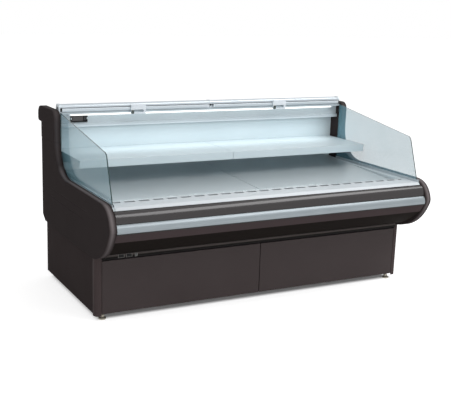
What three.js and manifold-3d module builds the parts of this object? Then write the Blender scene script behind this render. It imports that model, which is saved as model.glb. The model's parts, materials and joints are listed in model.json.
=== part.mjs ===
// Refrigerated display cabinet: open front, shelf, side glasses and roll-up night blinds.
// Millimetres. X runs along the cabinet, -Y points out of its open front, +Z is up, and the
// origin is on the floor under the middle of the cabinet.

import * as THREE from 'three';
import { mergeVertices } from 'three/addons/utils/BufferGeometryUtils.js';
import Module from 'manifold-3d';

const wasm = await Module();
wasm.setup();

// Overall sizes
const bodyLength = 1875;
const endThickness = 40;
const footHeight = 25;
const plinthHeight = 316;
const plinthDepth = 830;
const plinthInset = 15;
const noseReach = 248;
const ledgeRise = 309;
const noseDrop = 113;
const uprightRise = 353;
const coverJointRise = 178;

// Clearances, overruns and the fineness of curves
const gap = 0.3;
const overrun = 5;
const weld = 0.0001;
const coarseArcSteps = 3;
const fineArcSteps = 8;
const roundSides = 24;
const smallRoundSides = 12;

// Sheet metal
const sheet = 2;
const heavySheet = 3;

// End panels and upright covers
const panelBevel = 8;
const panelBevelSteps = 2;
const ledgeNoseSetback = 128;
const noseLowerReach = 177;
const noseLowerRise = 29;
const noseUpperSetback = 23;
const noseUpperDrop = 5;
const uprightDepth = 200;
const uprightInnerRadius = 185;
const uprightTopRadius = 40;
const panelRearOverhang = 32;
const coverRearOverhang = 37;
const capReach = 61;
const capRise = 88;
const capRadius = 46;
const capLipRadius = 18;
const capRootRadius = 10;
const panelFootSetback = 15;
const panelFootRise = 34;
const grooveDepth = 1.5;
const grooveWidth = 6;
const grooveRise = 173;
const groovePitch = 46;
const grooveFrontSetback = 75;
const grooveRearInset = 99;

// Insulated tub
const bumperDepth = 58;
const tubWall = 58;
const tubEndWall = 44;
const tubFloor = 60;
const tubBelowLedge = 15;
const tubFrontLowDrop = 21;
const tubKneeSetback = 60;
const tubKneeRise = 52;
const tubFootSetback = 20;
const tubRearInset = 5;
const tubRearWall = 45;
const tubCornerRadius = 12;
const cavityCornerRadius = 20;
const cavityFrontRise = 17;
const cavityFootSetback = 9;

// Hood over the rear wall
const hoodFaceInset = 138;
const hoodTopDrop = 15;
const hoodBrow = 36;
const hoodBrowHeight = 10;
const hoodLipProud = 14;
const hoodLipHeight = 18;
const hoodFaceHeight = 57;
const hoodLipReturn = 18;
const hoodRearDrop = 58;

// Back duct panel, honeycomb and lamp
const ductDepth = 35;
const backPanelFlange = 25;
const honeycombHeight = 17;
const honeycombCells = 36;
const honeycombWall = 5;
const honeycombRim = 6;
const lampDepth = 20;
const lampHeight = 9;
const lampBrowSetback = 2;
const lampEndInset = 55;

// Thermostat
const thermostatWidth = 99;
const thermostatHeight = 43;
const thermostatProud = 7;
const thermostatRadius = 4;
const thermostatInset = 76;
const thermostatBodyDepth = 40;
const thermostatBodyMargin = 4;
const thermostatDrop = 7;
const bezelWidth = 6;
const bezelDepth = 2;

// Shelves and brackets
const shelfDepth = 393;
const shelfRise = 123;
const shelfBand = 42;
const shelfBandReturn = 14;
const shelfRearDrop = 20;
const shelfEndInset = 15;
const shelfMiddleGap = 1;
const bracketRearHeight = 70;
const bracketFrontHeight = 14;
const bracketFrontGap = 30;
const bracketThickness = 4;
const bracketFlange = 30;
const bracketEndInset = 42;
const bracketNotch = 30;

// Deck pans, the fan plate that carries them, and the evaporator
const panFrontSetback = 50;
const panRearGap = 6;
const panLip = 12;
const panSideInset = 4;
const panMiddleGap = 2;
const fanPlateInset = 20;
const fanPlateFlange = 68;
const fanPlateBelowTub = 33;
const fanOpeningMargin = 18.35;
const fanTipGap = 4;
const fanSpacing = 860;
const spiderArms = 3;
const spiderArmWidth = 12;
const spiderHubRadius = 26;
const fanPinRadius = 5;
const fanPinLength = 36;
const fanHubRadius = 24;
const fanHubDepth = 26;
const fanHubStandOff = 4;
const fanBoreGap = 0.3;
const fanBlades = 5;
const bladeThickness = 2.5;
const bladePitch = 0.55;
const bladeLeadAngle = 0.56;
const bladeTrailAngle = -0.14;
const bladeRootShare = 0.8;
const bladeRootWidthShare = 0.42;
const bladeLeadShare = 0.4;
const bladeTrailShare = -0.2;
const coilFrontSetback = 250;
const coilDepth = 270;
const coilHeight = 150;
const coilEndRoom = 123;
const coilFins = 15;
const finThickness = 2;
const tubeRows = 2;
const tubeColumns = 2;
const tubeSize = 12;
const tubeFirstShare = 0.5;
const suctionRadius = 9;
const liquidRadius = 6;
const pipeSides = 8;
const pipeBendSteps = 4;
const suctionBend = 30;
const liquidBend = 20;
const suctionDrop = 42;
const liquidDrop = 55;
const pipeHoleMargin = 5;
const pipeOffset = 46;
const pipeSpacing = 60;
const pipeClipWidth = 16;
const clipShares = [0.3, 0.75];
const portFlare = 2;
const condenserPipeOffset = 34;
const condenserPipeDrop = 70;

// Drain
const drainRadius = 18;
const drainBoreRadius = 14;
const drainFlangeRadius = 32;
const drainFlangeHeight = 4;
const drainDrop = 150;
const drainSetback = 75;

// Front sill
const sillFrontFall = 14;
const sillFrontRun = 11;
const sillFrontHem = 8;
const sillRearFold = 30;
const sillSlots = 24;
const sillSlotWidth = 26;
const sillSlotInset = 6;
const sillSlotShare = 0.72;
const sillRearSetback = 58;

// Bumpers, fascia and switch rail
const upperBumperHeight = 55;
const upperBumperSetback = 17;
const upperBumperShoulder = 9;
const upperBumperCrown = 4;
const silverBumperRise = 28;
const silverBumperHeight = 44;
const silverBumperTopSetback = 20;
const silverBumperFootSetback = 5;
const silverBumperCrown = 17;
const silverBumperBulge = 2;
const bumperSeam = 2;
const bumperEndInset = 1;
const fasciaTopSetback = 9;
const fasciaCreaseSetback = 40;
const fasciaCreaseDrop = 50;
const fasciaCurveSetback = 98;
const fasciaCurveDrop = 112;
const fasciaFootSetback = 60;
const fasciaFootRise = 27;
const fasciaFootFlange = 24;
const switchRailHeight = 22;
const switchRailProud = 12;
const switchRailDepth = 15;
const switchRailRadius = 7;
const switchRailAbovePlinth = 10;
const rockerWidth = 27;
const rockerHeight = 15;
const rockerDepth = 10;
const rockerProud = 3;
const rockerPocketDepth = 12;
const rockerSpacing = 43;
const rockerInset = 136;
const rockerGap = 1.5;
const rockerPinRadius = 2;
const rockerPinHold = 1.2;
const rockerDish = 1.5;

// Plinth
const frameBar = 30;
const frameWall = 3;
const crossBarSpacing = 620;
const unitPlateFrom = -560;
const unitPlateTo = 200;
const postLeg = 36;
const postRadius = 24;
const postWall = 3;
const baseGroundGap = 10;
const frontPanelTopGap = 23;
const frontPanelDepth = 16;
const frontPanelGap = 2;
const sidePanelFold = 28;
const rearPanelTopGap = 12;
const louvreRows = 6;
const louvreColumns = 2;
const louvreLength = 380;
const louvreHeight = 12;
const louvreProud = 9;
const louvrePitch = 30;
const louvreSpacing = 760;
const louvreTopDrop = 70;
const louvreOpenShare = 0.7;

// Levelling feet
const footDiscRadius = 20;
const footDiscHeight = 8;
const footConeHeight = 6;
const footNutRadius = 11;
const footStudRadius = 6;
const footStudHold = 12;
const footInset = 50;
const footSides = 16;

// Condensing unit
const compressorRadius = 78;
const compressorHeadroom = 85.7;
const compressorCrown = 46;
const compressorFootWidth = 200;
const compressorFootHeight = 6;
const compressorX = 60;
const compressorPortOffset = 40;
const compressorPortRise = 8;
const terminalWidth = 60;
const terminalHeight = 70;
const terminalDepth = 36;
const terminalRise = 50;
const condenserLength = 380;
const condenserHeadroom = 75.7;
const condenserDepth = 66;
const condenserX = -330;
const condenserRearGap = 40;
const condenserFins = 12;
const shroudDepth = 60;
const shroudWall = 3;
const condenserFanMargin = 14;

// Night blinds
const housingBrowSetback = 6;
const housingDepth = 50;
const housingHeight = 45;
const housingRadius = 15;
const housingLipHeight = 15;
const housingSlot = 11;
const rollerRadius = 15;
const rollerPinRadius = 4;
const rollerPinLength = 6;
const capThickness = 12;
const capMargin = 2;
const middleBracketHalf = 7;
const pullBarDepth = 11;
const pullBarHeight = 18;
const pullBarRise = 5;
const pullBarRadius = 4;
const pullBarEndGap = 10;
const handleWidth = 92;
const handleHeight = 54;
const handleDepth = 10;
const handleRadius = 6;
const handleDrop = 22;
const handleGripWidth = 62;
const handleGripHeight = 16;
const handleGripRise = 8;

// Side glasses and their channels
const glassThickness = 6;
const glassFootSetback = 166;
const glassCornerSetback = 79;
const glassCornerRise = 235;
const glassCornerRadius = 30;
const glassBrowGap = 11;
const glassRearRise = 338;
const channelWall = 2.5;
const channelFloor = 3;
const channelFrontSetback = 176;

// Places that follow from the sizes
const halfBody = bodyLength / 2;
const halfLength = halfBody + endThickness;
const halfPlinth = halfLength - plinthInset;
const overallDepth = noseReach + plinthDepth + coverRearOverhang + capReach;
const noseTipY = -overallDepth / 2;
const plinthFrontY = noseTipY + noseReach;
const plinthRearY = plinthFrontY + plinthDepth;
const capRearY = overallDepth / 2;
const plinthTopZ = footHeight + plinthHeight;
const ledgeZ = plinthTopZ + ledgeRise;
const noseTipZ = ledgeZ - noseDrop;
const coverJointZ = ledgeZ + coverJointRise;
const uprightTopZ = ledgeZ + uprightRise;
const tubFrontY = noseTipY + bumperDepth;
const tubTopZ = ledgeZ - tubBelowLedge;
const tubRearY = plinthRearY - tubRearInset;
const tubFloorZ = plinthTopZ + tubFloor;
const cavityHalf = halfBody - gap - tubEndWall;
const rearWallInnerY = tubRearY - tubRearWall;
const backPanelY = rearWallInnerY - ductDepth;
const backPanelFrontY = backPanelY - sheet;
const hoodTopZ = uprightTopZ - hoodTopDrop;
const hoodFaceY = plinthRearY - hoodFaceInset;
const browFrontY = hoodFaceY - hoodBrow;
const browBottomZ = hoodTopZ - hoodBrowHeight;
const hoodLipTopZ = browBottomZ - hoodFaceHeight;
const hoodLipBottomZ = hoodLipTopZ - hoodLipHeight;
const shelfTopZ = ledgeZ + shelfRise;
const shelfFrontY = backPanelFrontY - shelfDepth;
const fanPlateY = plinthFrontY + fanPlateInset;
const fanPlateTopZ = tubTopZ - fanPlateBelowTub;
const fanCentreZ = (tubFloorZ + fanPlateTopZ) / 2;
const fanOpeningRadius = (fanPlateTopZ - tubFloorZ - gap) / 2 - fanOpeningMargin;
const sillTopZ = tubTopZ + gap + sheet;
const railTopZ = plinthTopZ + switchRailAbovePlinth;
const glassX = halfBody - gap - channelWall - gap - glassThickness / 2;
const channelInnerX = glassX - glassThickness / 2 - gap - channelWall;
const housingFrontY = browFrontY + housingBrowSetback;
const housingRearY = housingFrontY + housingDepth;
const housingBottomZ = hoodTopZ + gap;
const rollerY = (housingFrontY + housingRearY) / 2;
const rollerZ = housingBottomZ + housingHeight / 2;
const coilHalfLength = cavityHalf - coilEndRoom;
const coilBottomZ = tubFloorZ + gap;
const coilTopZ = coilBottomZ + coilHeight;
const coilFrontY = plinthFrontY + coilFrontSetback;
const silverTopZ = noseTipZ + silverBumperRise;
const silverBottomZ = silverTopZ - silverBumperHeight;
const rockerZ = railTopZ - switchRailHeight / 2;
const frameFrontY = plinthFrontY + frontPanelDepth + gap;
const frameRearY = plinthRearY - postWall - gap;
const frameHalf = halfPlinth - postWall - gap;
const frameBottomZ = footHeight + baseGroundGap;
const frameFloorZ = frameBottomZ + frameBar;
const pipeX = coilHalfLength + pipeOffset;
const suctionY = coilFrontY + coilDepth / 2 - pipeSpacing / 2;
const liquidY = suctionY + pipeSpacing;
const compressorHeight = plinthTopZ - frameFloorZ - gap - compressorHeadroom;
const condenserHeight = plinthTopZ - frameFloorZ - gap - condenserHeadroom;
const compressorPortZ = frameFloorZ + gap + compressorHeight + compressorPortRise;
const condenserY = plinthRearY - condenserRearGap - condenserDepth / 2;
const shroudRearY = condenserY - condenserDepth / 2 - gap;
const condenserZ = frameFloorZ + gap + condenserHeight / 2;
const condenserFanRadius = condenserHeight / 2 - condenserFanMargin;
const frameCornerRadius = postRadius - postWall - gap;
const rockerPivotY = plinthFrontY - switchRailProud - rockerProud + rockerDepth / 2;
const rockerXs = [0, 1].map((place) => -halfPlinth + rockerInset + place * rockerSpacing);
const housingTopZ = housingBottomZ + housingHeight;
const glassFootZ = tubTopZ + gap + channelFloor + gap;

// Finishes
const finish = (color, roughness, metalness, opacity = 1) => new THREE.MeshStandardMaterial({
  color, roughness, metalness, opacity, transparent: opacity < 1,
});
const darkMoulding = () => finish(0x3a3434, 0.5, 0);
const darkSheet = () => finish(0x3e3737, 0.45, 0.1);
const blackPlastic = () => finish(0x151515, 0.5, 0);
const paleSteel = () => finish(0xc4d4da, 0.35, 0.3);
const stainless = () => finish(0xb8c0c4, 0.3, 0.9);
const aluminium = () => finish(0xbcc4c8, 0.35, 0.8);
const foamWhite = () => finish(0xd8dcdc, 0.6, 0);
const clearGlass = () => finish(0xb8d0d8, 0.05, 0, 0.3);
const whitePlastic = () => finish(0xe6eaee, 0.3, 0);
const lampWhite = () => finish(0xf8f8f4, 0.4, 0);
const copper = () => finish(0xb06a3c, 0.35, 0.9);
const castBlack = () => finish(0x1c1d1f, 0.55, 0.3);
const zinc = () => finish(0x9a9a90, 0.4, 0.9);

const cabinet = new THREE.Group();

function add(name, geometry, material) {
  geometry.computeVertexNormals();
  const mesh = new THREE.Mesh(geometry, material);
  mesh.name = name;
  cabinet.add(mesh);
}

// The solid that a closed geometry bounds, for joins and cuts
function solidOf(geometry) {
  const bare = geometry.clone();
  bare.deleteAttribute('normal');
  bare.deleteAttribute('uv');
  const merged = mergeVertices(bare, weld);
  const corners = [];
  for (let start = 0; start < merged.index.count; start += 3) {
    const [a, b, c] = merged.index.array.subarray(start, start + 3);
    if (a !== b && b !== c && c !== a) {
      corners.push(a, b, c);
    }
  }
  return new wasm.Manifold(new wasm.Mesh({
    numProp: 3,
    vertProperties: new Float32Array(merged.attributes.position.array),
    triVerts: new Uint32Array(corners),
  }));
}

function geometryOf(solid) {
  const mesh = solid.getMesh();
  const geometry = new THREE.BufferGeometry();
  geometry.setAttribute('position', new THREE.BufferAttribute(mesh.vertProperties, 3));
  geometry.setIndex(new THREE.BufferAttribute(mesh.triVerts, 1));
  return geometry;
}

const joined = (first, ...others) => geometryOf(
  others.reduce((whole, other) => whole.add(solidOf(other)), solidOf(first)),
);

const cutBy = (whole, ...tools) => geometryOf(
  tools.reduce((rest, tool) => rest.subtract(solidOf(tool)), solidOf(whole)),
);

function block(x0, x1, y0, y1, z0, z1) {
  const geometry = new THREE.BoxGeometry(x1 - x0, y1 - y0, z1 - z0);
  return geometry.translate((x0 + x1) / 2, (y0 + y1) / 2, (z0 + z1) / 2);
}

// Extrusions of an outline along each axis
function alongX(shape, from, to, bevel = {}) {
  const geometry = new THREE.ExtrudeGeometry(shape, {
    depth: to - from, bevelEnabled: false, curveSegments: fineArcSteps, ...bevel,
  });
  const turn = new THREE.Matrix4().makeBasis(
    new THREE.Vector3(0, 1, 0), new THREE.Vector3(0, 0, 1), new THREE.Vector3(1, 0, 0),
  );
  return geometry.applyMatrix4(turn).translate(from, 0, 0);
}

function alongY(shape, from, to) {
  const geometry = new THREE.ExtrudeGeometry(shape, {
    depth: to - from, bevelEnabled: false, curveSegments: fineArcSteps,
  });
  return geometry.rotateX(Math.PI / 2).translate(0, to, 0);
}

function alongZ(shape, from, to) {
  const geometry = new THREE.ExtrudeGeometry(shape, {
    depth: to - from, bevelEnabled: false, curveSegments: fineArcSteps,
  });
  return geometry.translate(0, 0, from);
}

// A closed outline from corners [x, y, radius, steps]: a radius rounds its corner with an arc
function cornerPoints(corners) {
  const points = [];
  corners.forEach(([x, y, radius = 0, steps = coarseArcSteps], index) => {
    const corner = new THREE.Vector2(x, y);
    if (radius === 0) {
      points.push(corner);
      return;
    }
    const [beforeX, beforeY] = corners.at(index - 1);
    const [afterX, afterY] = corners[(index + 1) % corners.length];
    const back = new THREE.Vector2(beforeX, beforeY).sub(corner).normalize();
    const ahead = new THREE.Vector2(afterX, afterY).sub(corner).normalize();
    const half = Math.acos(back.dot(ahead)) / 2;
    const middle = back.clone().add(ahead).normalize();
    const centre = corner.clone().addScaledVector(middle, radius / Math.sin(half));
    const start = corner.clone().addScaledVector(back, radius / Math.tan(half)).sub(centre);
    const turn = Math.sign(back.cross(ahead)) * (2 * half - Math.PI);
    for (let step = 0; step <= steps; step += 1) {
      const spoke = start.clone().rotateAround(new THREE.Vector2(), (turn * step) / steps);
      points.push(centre.clone().add(spoke));
    }
  });
  return points;
}

const outline = (corners) => new THREE.Shape(cornerPoints(corners));

// A bent sheet from the line that one of its faces follows; a positive thickness lies on the
// left of the line's direction
function bentSheet(line, thickness) {
  const path = line.map((point) => new THREE.Vector2(point.x ?? point[0], point.y ?? point[1]));
  const normals = path.slice(1).map((point, index) => {
    const along = point.clone().sub(path[index]).normalize();
    return new THREE.Vector2(-along.y, along.x);
  });
  const offset = path.map((point, index) => {
    const before = normals[Math.max(index - 1, 0)];
    const after = normals[Math.min(index, normals.length - 1)];
    const mitre = before.clone().add(after).divideScalar(1 + before.dot(after));
    return point.clone().addScaledVector(mitre, thickness);
  });
  return new THREE.Shape([...path, ...offset.reverse()]);
}

const curvePoints = (start, control, end) => new THREE.QuadraticBezierCurve(
  new THREE.Vector2(...start), new THREE.Vector2(...control), new THREE.Vector2(...end),
).getPoints(fineArcSteps);

function circle(x, y, radius, sides = roundSides) {
  const points = Array.from({ length: sides }, (_, side) => {
    const angle = (2 * Math.PI * side) / sides;
    return new THREE.Vector2(x + radius * Math.cos(angle), y + radius * Math.sin(angle));
  });
  return new THREE.Shape(points);
}

function rectangle(x0, x1, y0, y1, radius = 0) {
  return outline([[x0, y0, radius], [x1, y0, radius], [x1, y1, radius], [x0, y1, radius]]);
}

// A turned piece about the Z axis, from [radius, height] points that start and end on the axis
function turned(profile, sides = roundSides) {
  const points = profile.map(([radius, height]) => new THREE.Vector2(radius, height));
  return new THREE.LatheGeometry(points, sides).rotateX(Math.PI / 2);
}

const rod = (radius, length, sides = roundSides) => turned(
  [[0, 0], [radius, 0], [radius, length], [0, length]], sides,
);

// Outline shared by the end panel and the cover above it: bulbous nose, level ledge, upright
// and the rounded cap that stands out at the rear
function endOutline() {
  const uprightFrontY = plinthRearY - uprightDepth;
  const panelRearY = plinthRearY + panelRearOverhang;
  const coverRearY = plinthRearY + coverRearOverhang;
  const capZ = uprightTopZ - capRise;
  const ledgeFrontY = noseTipY + ledgeNoseSetback;
  const nose = new THREE.Shape();
  nose.moveTo(plinthFrontY - overrun, plinthTopZ);
  nose.quadraticCurveTo(
    plinthFrontY - overrun - noseLowerReach, plinthTopZ + noseLowerRise, noseTipY, noseTipZ,
  );
  nose.quadraticCurveTo(
    noseTipY + noseUpperSetback, ledgeZ - noseUpperDrop, ledgeFrontY, ledgeZ,
  );
  cornerPoints([
    [ledgeFrontY, ledgeZ],
    [uprightFrontY, ledgeZ, uprightInnerRadius, fineArcSteps],
    [uprightFrontY, uprightTopZ, uprightTopRadius, fineArcSteps],
    [capRearY, uprightTopZ, capRadius, fineArcSteps],
    [capRearY, capZ, capLipRadius],
    [coverRearY, capZ, capRootRadius],
    [coverRearY, coverJointZ],
    [panelRearY, coverJointZ],
    [panelRearY, plinthTopZ + panelFootRise],
    [plinthRearY - panelFootSetback, plinthTopZ],
  ]).slice(1).forEach((point) => nose.lineTo(point.x, point.y));
  return nose;
}

// The whole moulding at one end, with rounded edges on both faces
function endMoulding(side) {
  const inner = side * halfBody;
  const outer = side * halfLength;
  return alongX(
    endOutline(), Math.min(inner, outer) + panelBevel, Math.max(inner, outer) - panelBevel, {
      bevelEnabled: true,
      bevelThickness: panelBevel,
      bevelSize: panelBevel,
      bevelOffset: -panelBevel,
      bevelSegments: panelBevelSteps,
    },
  );
}

const everythingFrom = (z0, z1) => block(
  -halfLength - overrun, halfLength + overrun, noseTipY - overrun, capRearY + overrun, z0, z1,
);

// Lower moulding, with the two shallow grooves pressed into its outer face
function endPanel(side) {
  const above = everythingFrom(coverJointZ - gap, uprightTopZ + overrun);
  const grooveX = side * (halfLength - grooveDepth);
  const clearX = side * (halfLength + overrun);
  const grooves = [grooveRise, grooveRise + groovePitch].map((rise) => block(
    Math.min(grooveX, clearX), Math.max(grooveX, clearX),
    plinthFrontY + grooveFrontSetback, plinthRearY - grooveRearInset,
    plinthTopZ + rise - grooveWidth / 2, plinthTopZ + rise + grooveWidth / 2,
  ));
  return cutBy(endMoulding(side), above, ...grooves);
}

function uprightCover(side) {
  return cutBy(endMoulding(side), everythingFrom(plinthTopZ - overrun, coverJointZ));
}

// Foamed tub: floor, front wall, end walls up to the ledge and the taller rear wall
function insulatedTub() {
  const kneeY = plinthFrontY - tubKneeSetback;
  const kneeZ = plinthTopZ + tubKneeRise;
  const frontLowZ = silverBottomZ - tubFrontLowDrop;
  const rearTopZ = hoodTopZ - sheet - gap;
  const half = halfBody - gap;
  const chamfer = sillFrontFall + sheet;
  const body = alongX(outline([
    [plinthFrontY + tubFootSetback, plinthTopZ + gap],
    [tubRearY, plinthTopZ + gap],
    [tubRearY, rearTopZ],
    [rearWallInnerY, rearTopZ],
    [rearWallInnerY, tubTopZ],
    [tubFrontY + chamfer, tubTopZ],
    [tubFrontY, tubTopZ - chamfer],
    [tubFrontY, frontLowZ, tubCornerRadius],
    [kneeY, kneeZ],
  ]), -half, half);
  const cavity = alongX(outline([
    [tubFrontY + tubWall, tubTopZ + overrun],
    [tubFrontY + tubWall, frontLowZ + cavityFrontRise, cavityCornerRadius],
    [plinthFrontY + cavityFootSetback, tubFloorZ, cavityCornerRadius],
    [rearWallInnerY, tubFloorZ],
    [rearWallInnerY, tubTopZ + overrun],
  ]), -cavityHalf, cavityHalf);
  return cutBy(body, cavity, drainHole(), ...pipeHoles());
}

function drainHole() {
  const hole = rod(drainRadius + gap, tubFloor + 2 * overrun);
  return hole.translate(0, plinthFrontY + drainSetback, plinthTopZ - overrun);
}

const pipeHoles = () => [[suctionY, suctionRadius], [liquidY, liquidRadius]].map(
  ([y, radius]) => rod(radius + pipeHoleMargin, tubFloor + 2 * overrun, smallRoundSides)
    .translate(pipeX, y, plinthTopZ - overrun),
);

function drainPipe() {
  const top = tubFloorZ + gap + drainFlangeHeight;
  const wall = drainRadius - drainBoreRadius;
  const profile = [
    [drainBoreRadius, plinthTopZ - drainDrop],
    [drainBoreRadius + wall, plinthTopZ - drainDrop],
    [drainBoreRadius + wall, tubFloorZ + gap],
    [drainFlangeRadius, tubFloorZ + gap],
    [drainFlangeRadius, top],
    [drainBoreRadius, top],
    [drainBoreRadius, plinthTopZ - drainDrop],
  ];
  return turned(profile).translate(0, plinthFrontY + drainSetback, 0);
}

// Thin fins threaded on rows of straight tubes
function finPack(x0, x1, y0, y1, z0, z1, finCount) {
  const pitch = (x1 - x0 - finThickness) / (finCount - 1);
  const fins = Array.from({ length: finCount }, (_, fin) => block(
    x0 + fin * pitch, x0 + fin * pitch + finThickness, y0, y1, z0, z1,
  ));
  const tubes = [];
  for (let row = 0; row < tubeRows; row += 1) {
    for (let column = 0; column < tubeColumns; column += 1) {
      const y = y0 + ((y1 - y0) * (column + tubeFirstShare)) / tubeColumns;
      const z = z0 + ((z1 - z0) * (row + tubeFirstShare)) / tubeRows;
      tubes.push(block(
        x0 + finThickness / 2, x1 - finThickness / 2,
        y - tubeSize / 2, y + tubeSize / 2, z - tubeSize / 2, z + tubeSize / 2,
      ));
    }
  }
  return joined(...tubes, ...fins);
}

// A pipe's centre line through corner points, each corner rounded by a bend
class PipeRoute extends THREE.Curve {
  constructor(corners, bend) {
    super();
    this.points = [corners[0]];
    corners.slice(1, -1).forEach((corner, index) => {
      const [start, end] = [corners[index], corners[index + 2]].map(
        (other) => corner.clone().addScaledVector(other.clone().sub(corner).normalize(), bend),
      );
      const arc = new THREE.QuadraticBezierCurve3(start, corner, end);
      this.points.push(...arc.getPoints(pipeBendSteps));
    });
    this.points.push(corners.at(-1));
  }

  getSpacedPoints() {
    return this.points;
  }

  getTangentAt(share) {
    const last = this.points.length - 1;
    const place = Math.round(share * last);
    const before = this.points[Math.max(place - 1, 0)];
    const after = this.points[Math.min(place + 1, last)];
    return after.clone().sub(before).normalize();
  }
}

function pipe(corners, radius, bend) {
  const route = new PipeRoute(corners.map((corner) => new THREE.Vector3(...corner)), bend);
  return new THREE.ExtrudeGeometry(circle(0, 0, radius, pipeSides), {
    steps: route.points.length - 1, extrudePath: route, bevelEnabled: false,
  });
}

// The pipes that feed this coil belong to the compressor's piece
const evaporatorCoil = () => finPack(
  -coilHalfLength, coilHalfLength, coilFrontY, coilFrontY + coilDepth,
  coilBottomZ, coilTopZ, coilFins,
);

// Suction pipe to the compressor and liquid pipe from the condenser, held side by side by clips
function refrigerantPipes() {
  const coilEndX = coilHalfLength + gap;
  const middleZ = (coilBottomZ + coilTopZ) / 2;
  const suctionZ = plinthTopZ - suctionDrop;
  const liquidZ = plinthTopZ - liquidDrop;
  const portX = compressorX + compressorPortOffset;
  const condenserPipeX = condenserX + condenserLength / 2 + condenserPipeOffset;
  const suction = pipe([
    [coilEndX, suctionY, middleZ],
    [pipeX, suctionY, middleZ],
    [pipeX, suctionY, suctionZ],
    [portX, suctionY, suctionZ],
    [portX, suctionY, compressorPortZ - compressorPortRise / 2],
  ], suctionRadius, suctionBend);
  const liquid = pipe([
    [coilEndX, liquidY, middleZ],
    [pipeX, liquidY, middleZ],
    [pipeX, liquidY, liquidZ],
    [condenserPipeX, liquidY, liquidZ],
    [condenserPipeX, condenserY, liquidZ],
    [condenserPipeX, condenserY, liquidZ - condenserPipeDrop],
    [condenserX + condenserLength / 2 + gap, condenserY, liquidZ - condenserPipeDrop],
  ], liquidRadius, liquidBend);
  const clipTopZ = suctionZ - suctionRadius / 2;
  const clips = clipShares.map((share) => portX + share * (pipeX - portX)).map((x) => block(
    x - pipeClipWidth / 2, x + pipeClipWidth / 2, suctionY, liquidY, liquidZ, clipTopZ,
  ));
  return joined(suction, liquid, ...clips);
}

// Upright plate between the air return and the coil; its front flange carries the pans
function fanPlate() {
  const half = cavityHalf - gap;
  const shape = rectangle(-half, half, tubFloorZ + gap, fanPlateTopZ);
  fanCentres().forEach((x) => shape.holes.push(...spiderSectors(x, fanCentreZ)));
  const plate = alongY(shape, fanPlateY, fanPlateY + heavySheet);
  const flange = block(
    -half, half, fanPlateY - fanPlateFlange, fanPlateY + heavySheet,
    fanPlateTopZ - heavySheet, fanPlateTopZ,
  );
  const pins = fanCentres().map((x) => rod(fanPinRadius, fanPinLength, smallRoundSides)
    .rotateX(-Math.PI / 2).translate(x, fanPlateY + heavySheet / 2, fanCentreZ));
  return joined(plate, flange, ...pins);
}

const fanCentres = () => [-fanSpacing / 2, fanSpacing / 2];

// The openings between the arms that hold a fan's pin in the middle of its hole
function spiderSectors(x, z, openingRadius = fanOpeningRadius) {
  return Array.from({ length: spiderArms }, (_, arm) => {
    const from = (2 * Math.PI * arm) / spiderArms;
    const to = (2 * Math.PI * (arm + 1)) / spiderArms;
    const outerTrim = spiderArmWidth / 2 / openingRadius;
    const innerTrim = spiderArmWidth / 2 / spiderHubRadius;
    const points = [];
    for (let step = 0; step <= fineArcSteps; step += 1) {
      const angle = from + outerTrim + ((to - from - 2 * outerTrim) * step) / fineArcSteps;
      points.push(new THREE.Vector2(
        x + openingRadius * Math.cos(angle), z + openingRadius * Math.sin(angle),
      ));
    }
    for (let step = 0; step <= coarseArcSteps; step += 1) {
      const angle = to - innerTrim - ((to - from - 2 * innerTrim) * step) / coarseArcSteps;
      points.push(new THREE.Vector2(
        x + spiderHubRadius * Math.cos(angle), z + spiderHubRadius * Math.sin(angle),
      ));
    }
    return new THREE.Path(points);
  });
}

// Axial fan: a hub with a bore, and pitched, swept blades; its axis lies along Y
function fan(tipRadius) {
  const hub = turned([
    [fanPinRadius + fanBoreGap, 0],
    [fanHubRadius, 0],
    [fanHubRadius, fanHubDepth],
    [fanPinRadius + fanBoreGap, fanHubDepth],
    [fanPinRadius + fanBoreGap, 0],
  ], roundSides);
  const root = fanHubRadius * bladeRootShare;
  const rootHalf = root * bladeRootWidthShare;
  const blade = new THREE.Shape();
  blade.moveTo(root, rootHalf);
  blade.quadraticCurveTo(
    tipRadius / 2, tipRadius * bladeLeadShare,
    tipRadius * Math.cos(bladeLeadAngle), tipRadius * Math.sin(bladeLeadAngle),
  );
  blade.absarc(0, 0, tipRadius, bladeLeadAngle, bladeTrailAngle, true);
  blade.quadraticCurveTo(tipRadius / 2, tipRadius * bladeTrailShare, root, -rootHalf);
  const blades = Array.from({ length: fanBlades }, (_, number) => {
    const geometry = new THREE.ExtrudeGeometry(blade, {
      depth: bladeThickness, bevelEnabled: false, curveSegments: coarseArcSteps,
    });
    return geometry.translate(0, 0, -bladeThickness / 2).rotateX(bladePitch)
      .translate(0, 0, fanHubDepth / 2).rotateZ((2 * Math.PI * number) / fanBlades);
  });
  const bore = rod(fanPinRadius + fanBoreGap, fanHubDepth + 2 * overrun, roundSides)
    .translate(0, 0, -overrun);
  return cutBy(joined(hub, ...blades), bore).rotateX(-Math.PI / 2);
}

// Back duct panel, with the flange that carries the pans' rear edge
function backPanel() {
  const half = halfBody - gap;
  const footZ = tubTopZ + gap;
  const topZ = hoodLipBottomZ + sheet + honeycombHeight + gap;
  const profile = bentSheet([
    [backPanelY - backPanelFlange, footZ],
    [backPanelY, footZ],
    [backPanelY, topZ],
  ], sheet);
  return alongX(profile, -half, half);
}

// One folded sheet: lip, face, brow, top and the fold down the back of the rear wall
function hood() {
  const half = halfBody - gap;
  const lipY = hoodFaceY - hoodLipProud;
  const profile = bentSheet([
    [lipY + hoodLipReturn, hoodLipBottomZ],
    [lipY, hoodLipBottomZ],
    [lipY, hoodLipTopZ],
    [hoodFaceY, hoodLipTopZ + sheet],
    [hoodFaceY, browBottomZ],
    [browFrontY, browBottomZ],
    [browFrontY, hoodTopZ],
    [tubRearY + gap + sheet, hoodTopZ],
    [tubRearY + gap + sheet, hoodTopZ - hoodRearDrop],
  ], -sheet);
  const opening = thermostatBody(gap);
  return cutBy(alongX(profile, -half, half), opening);
}

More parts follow.
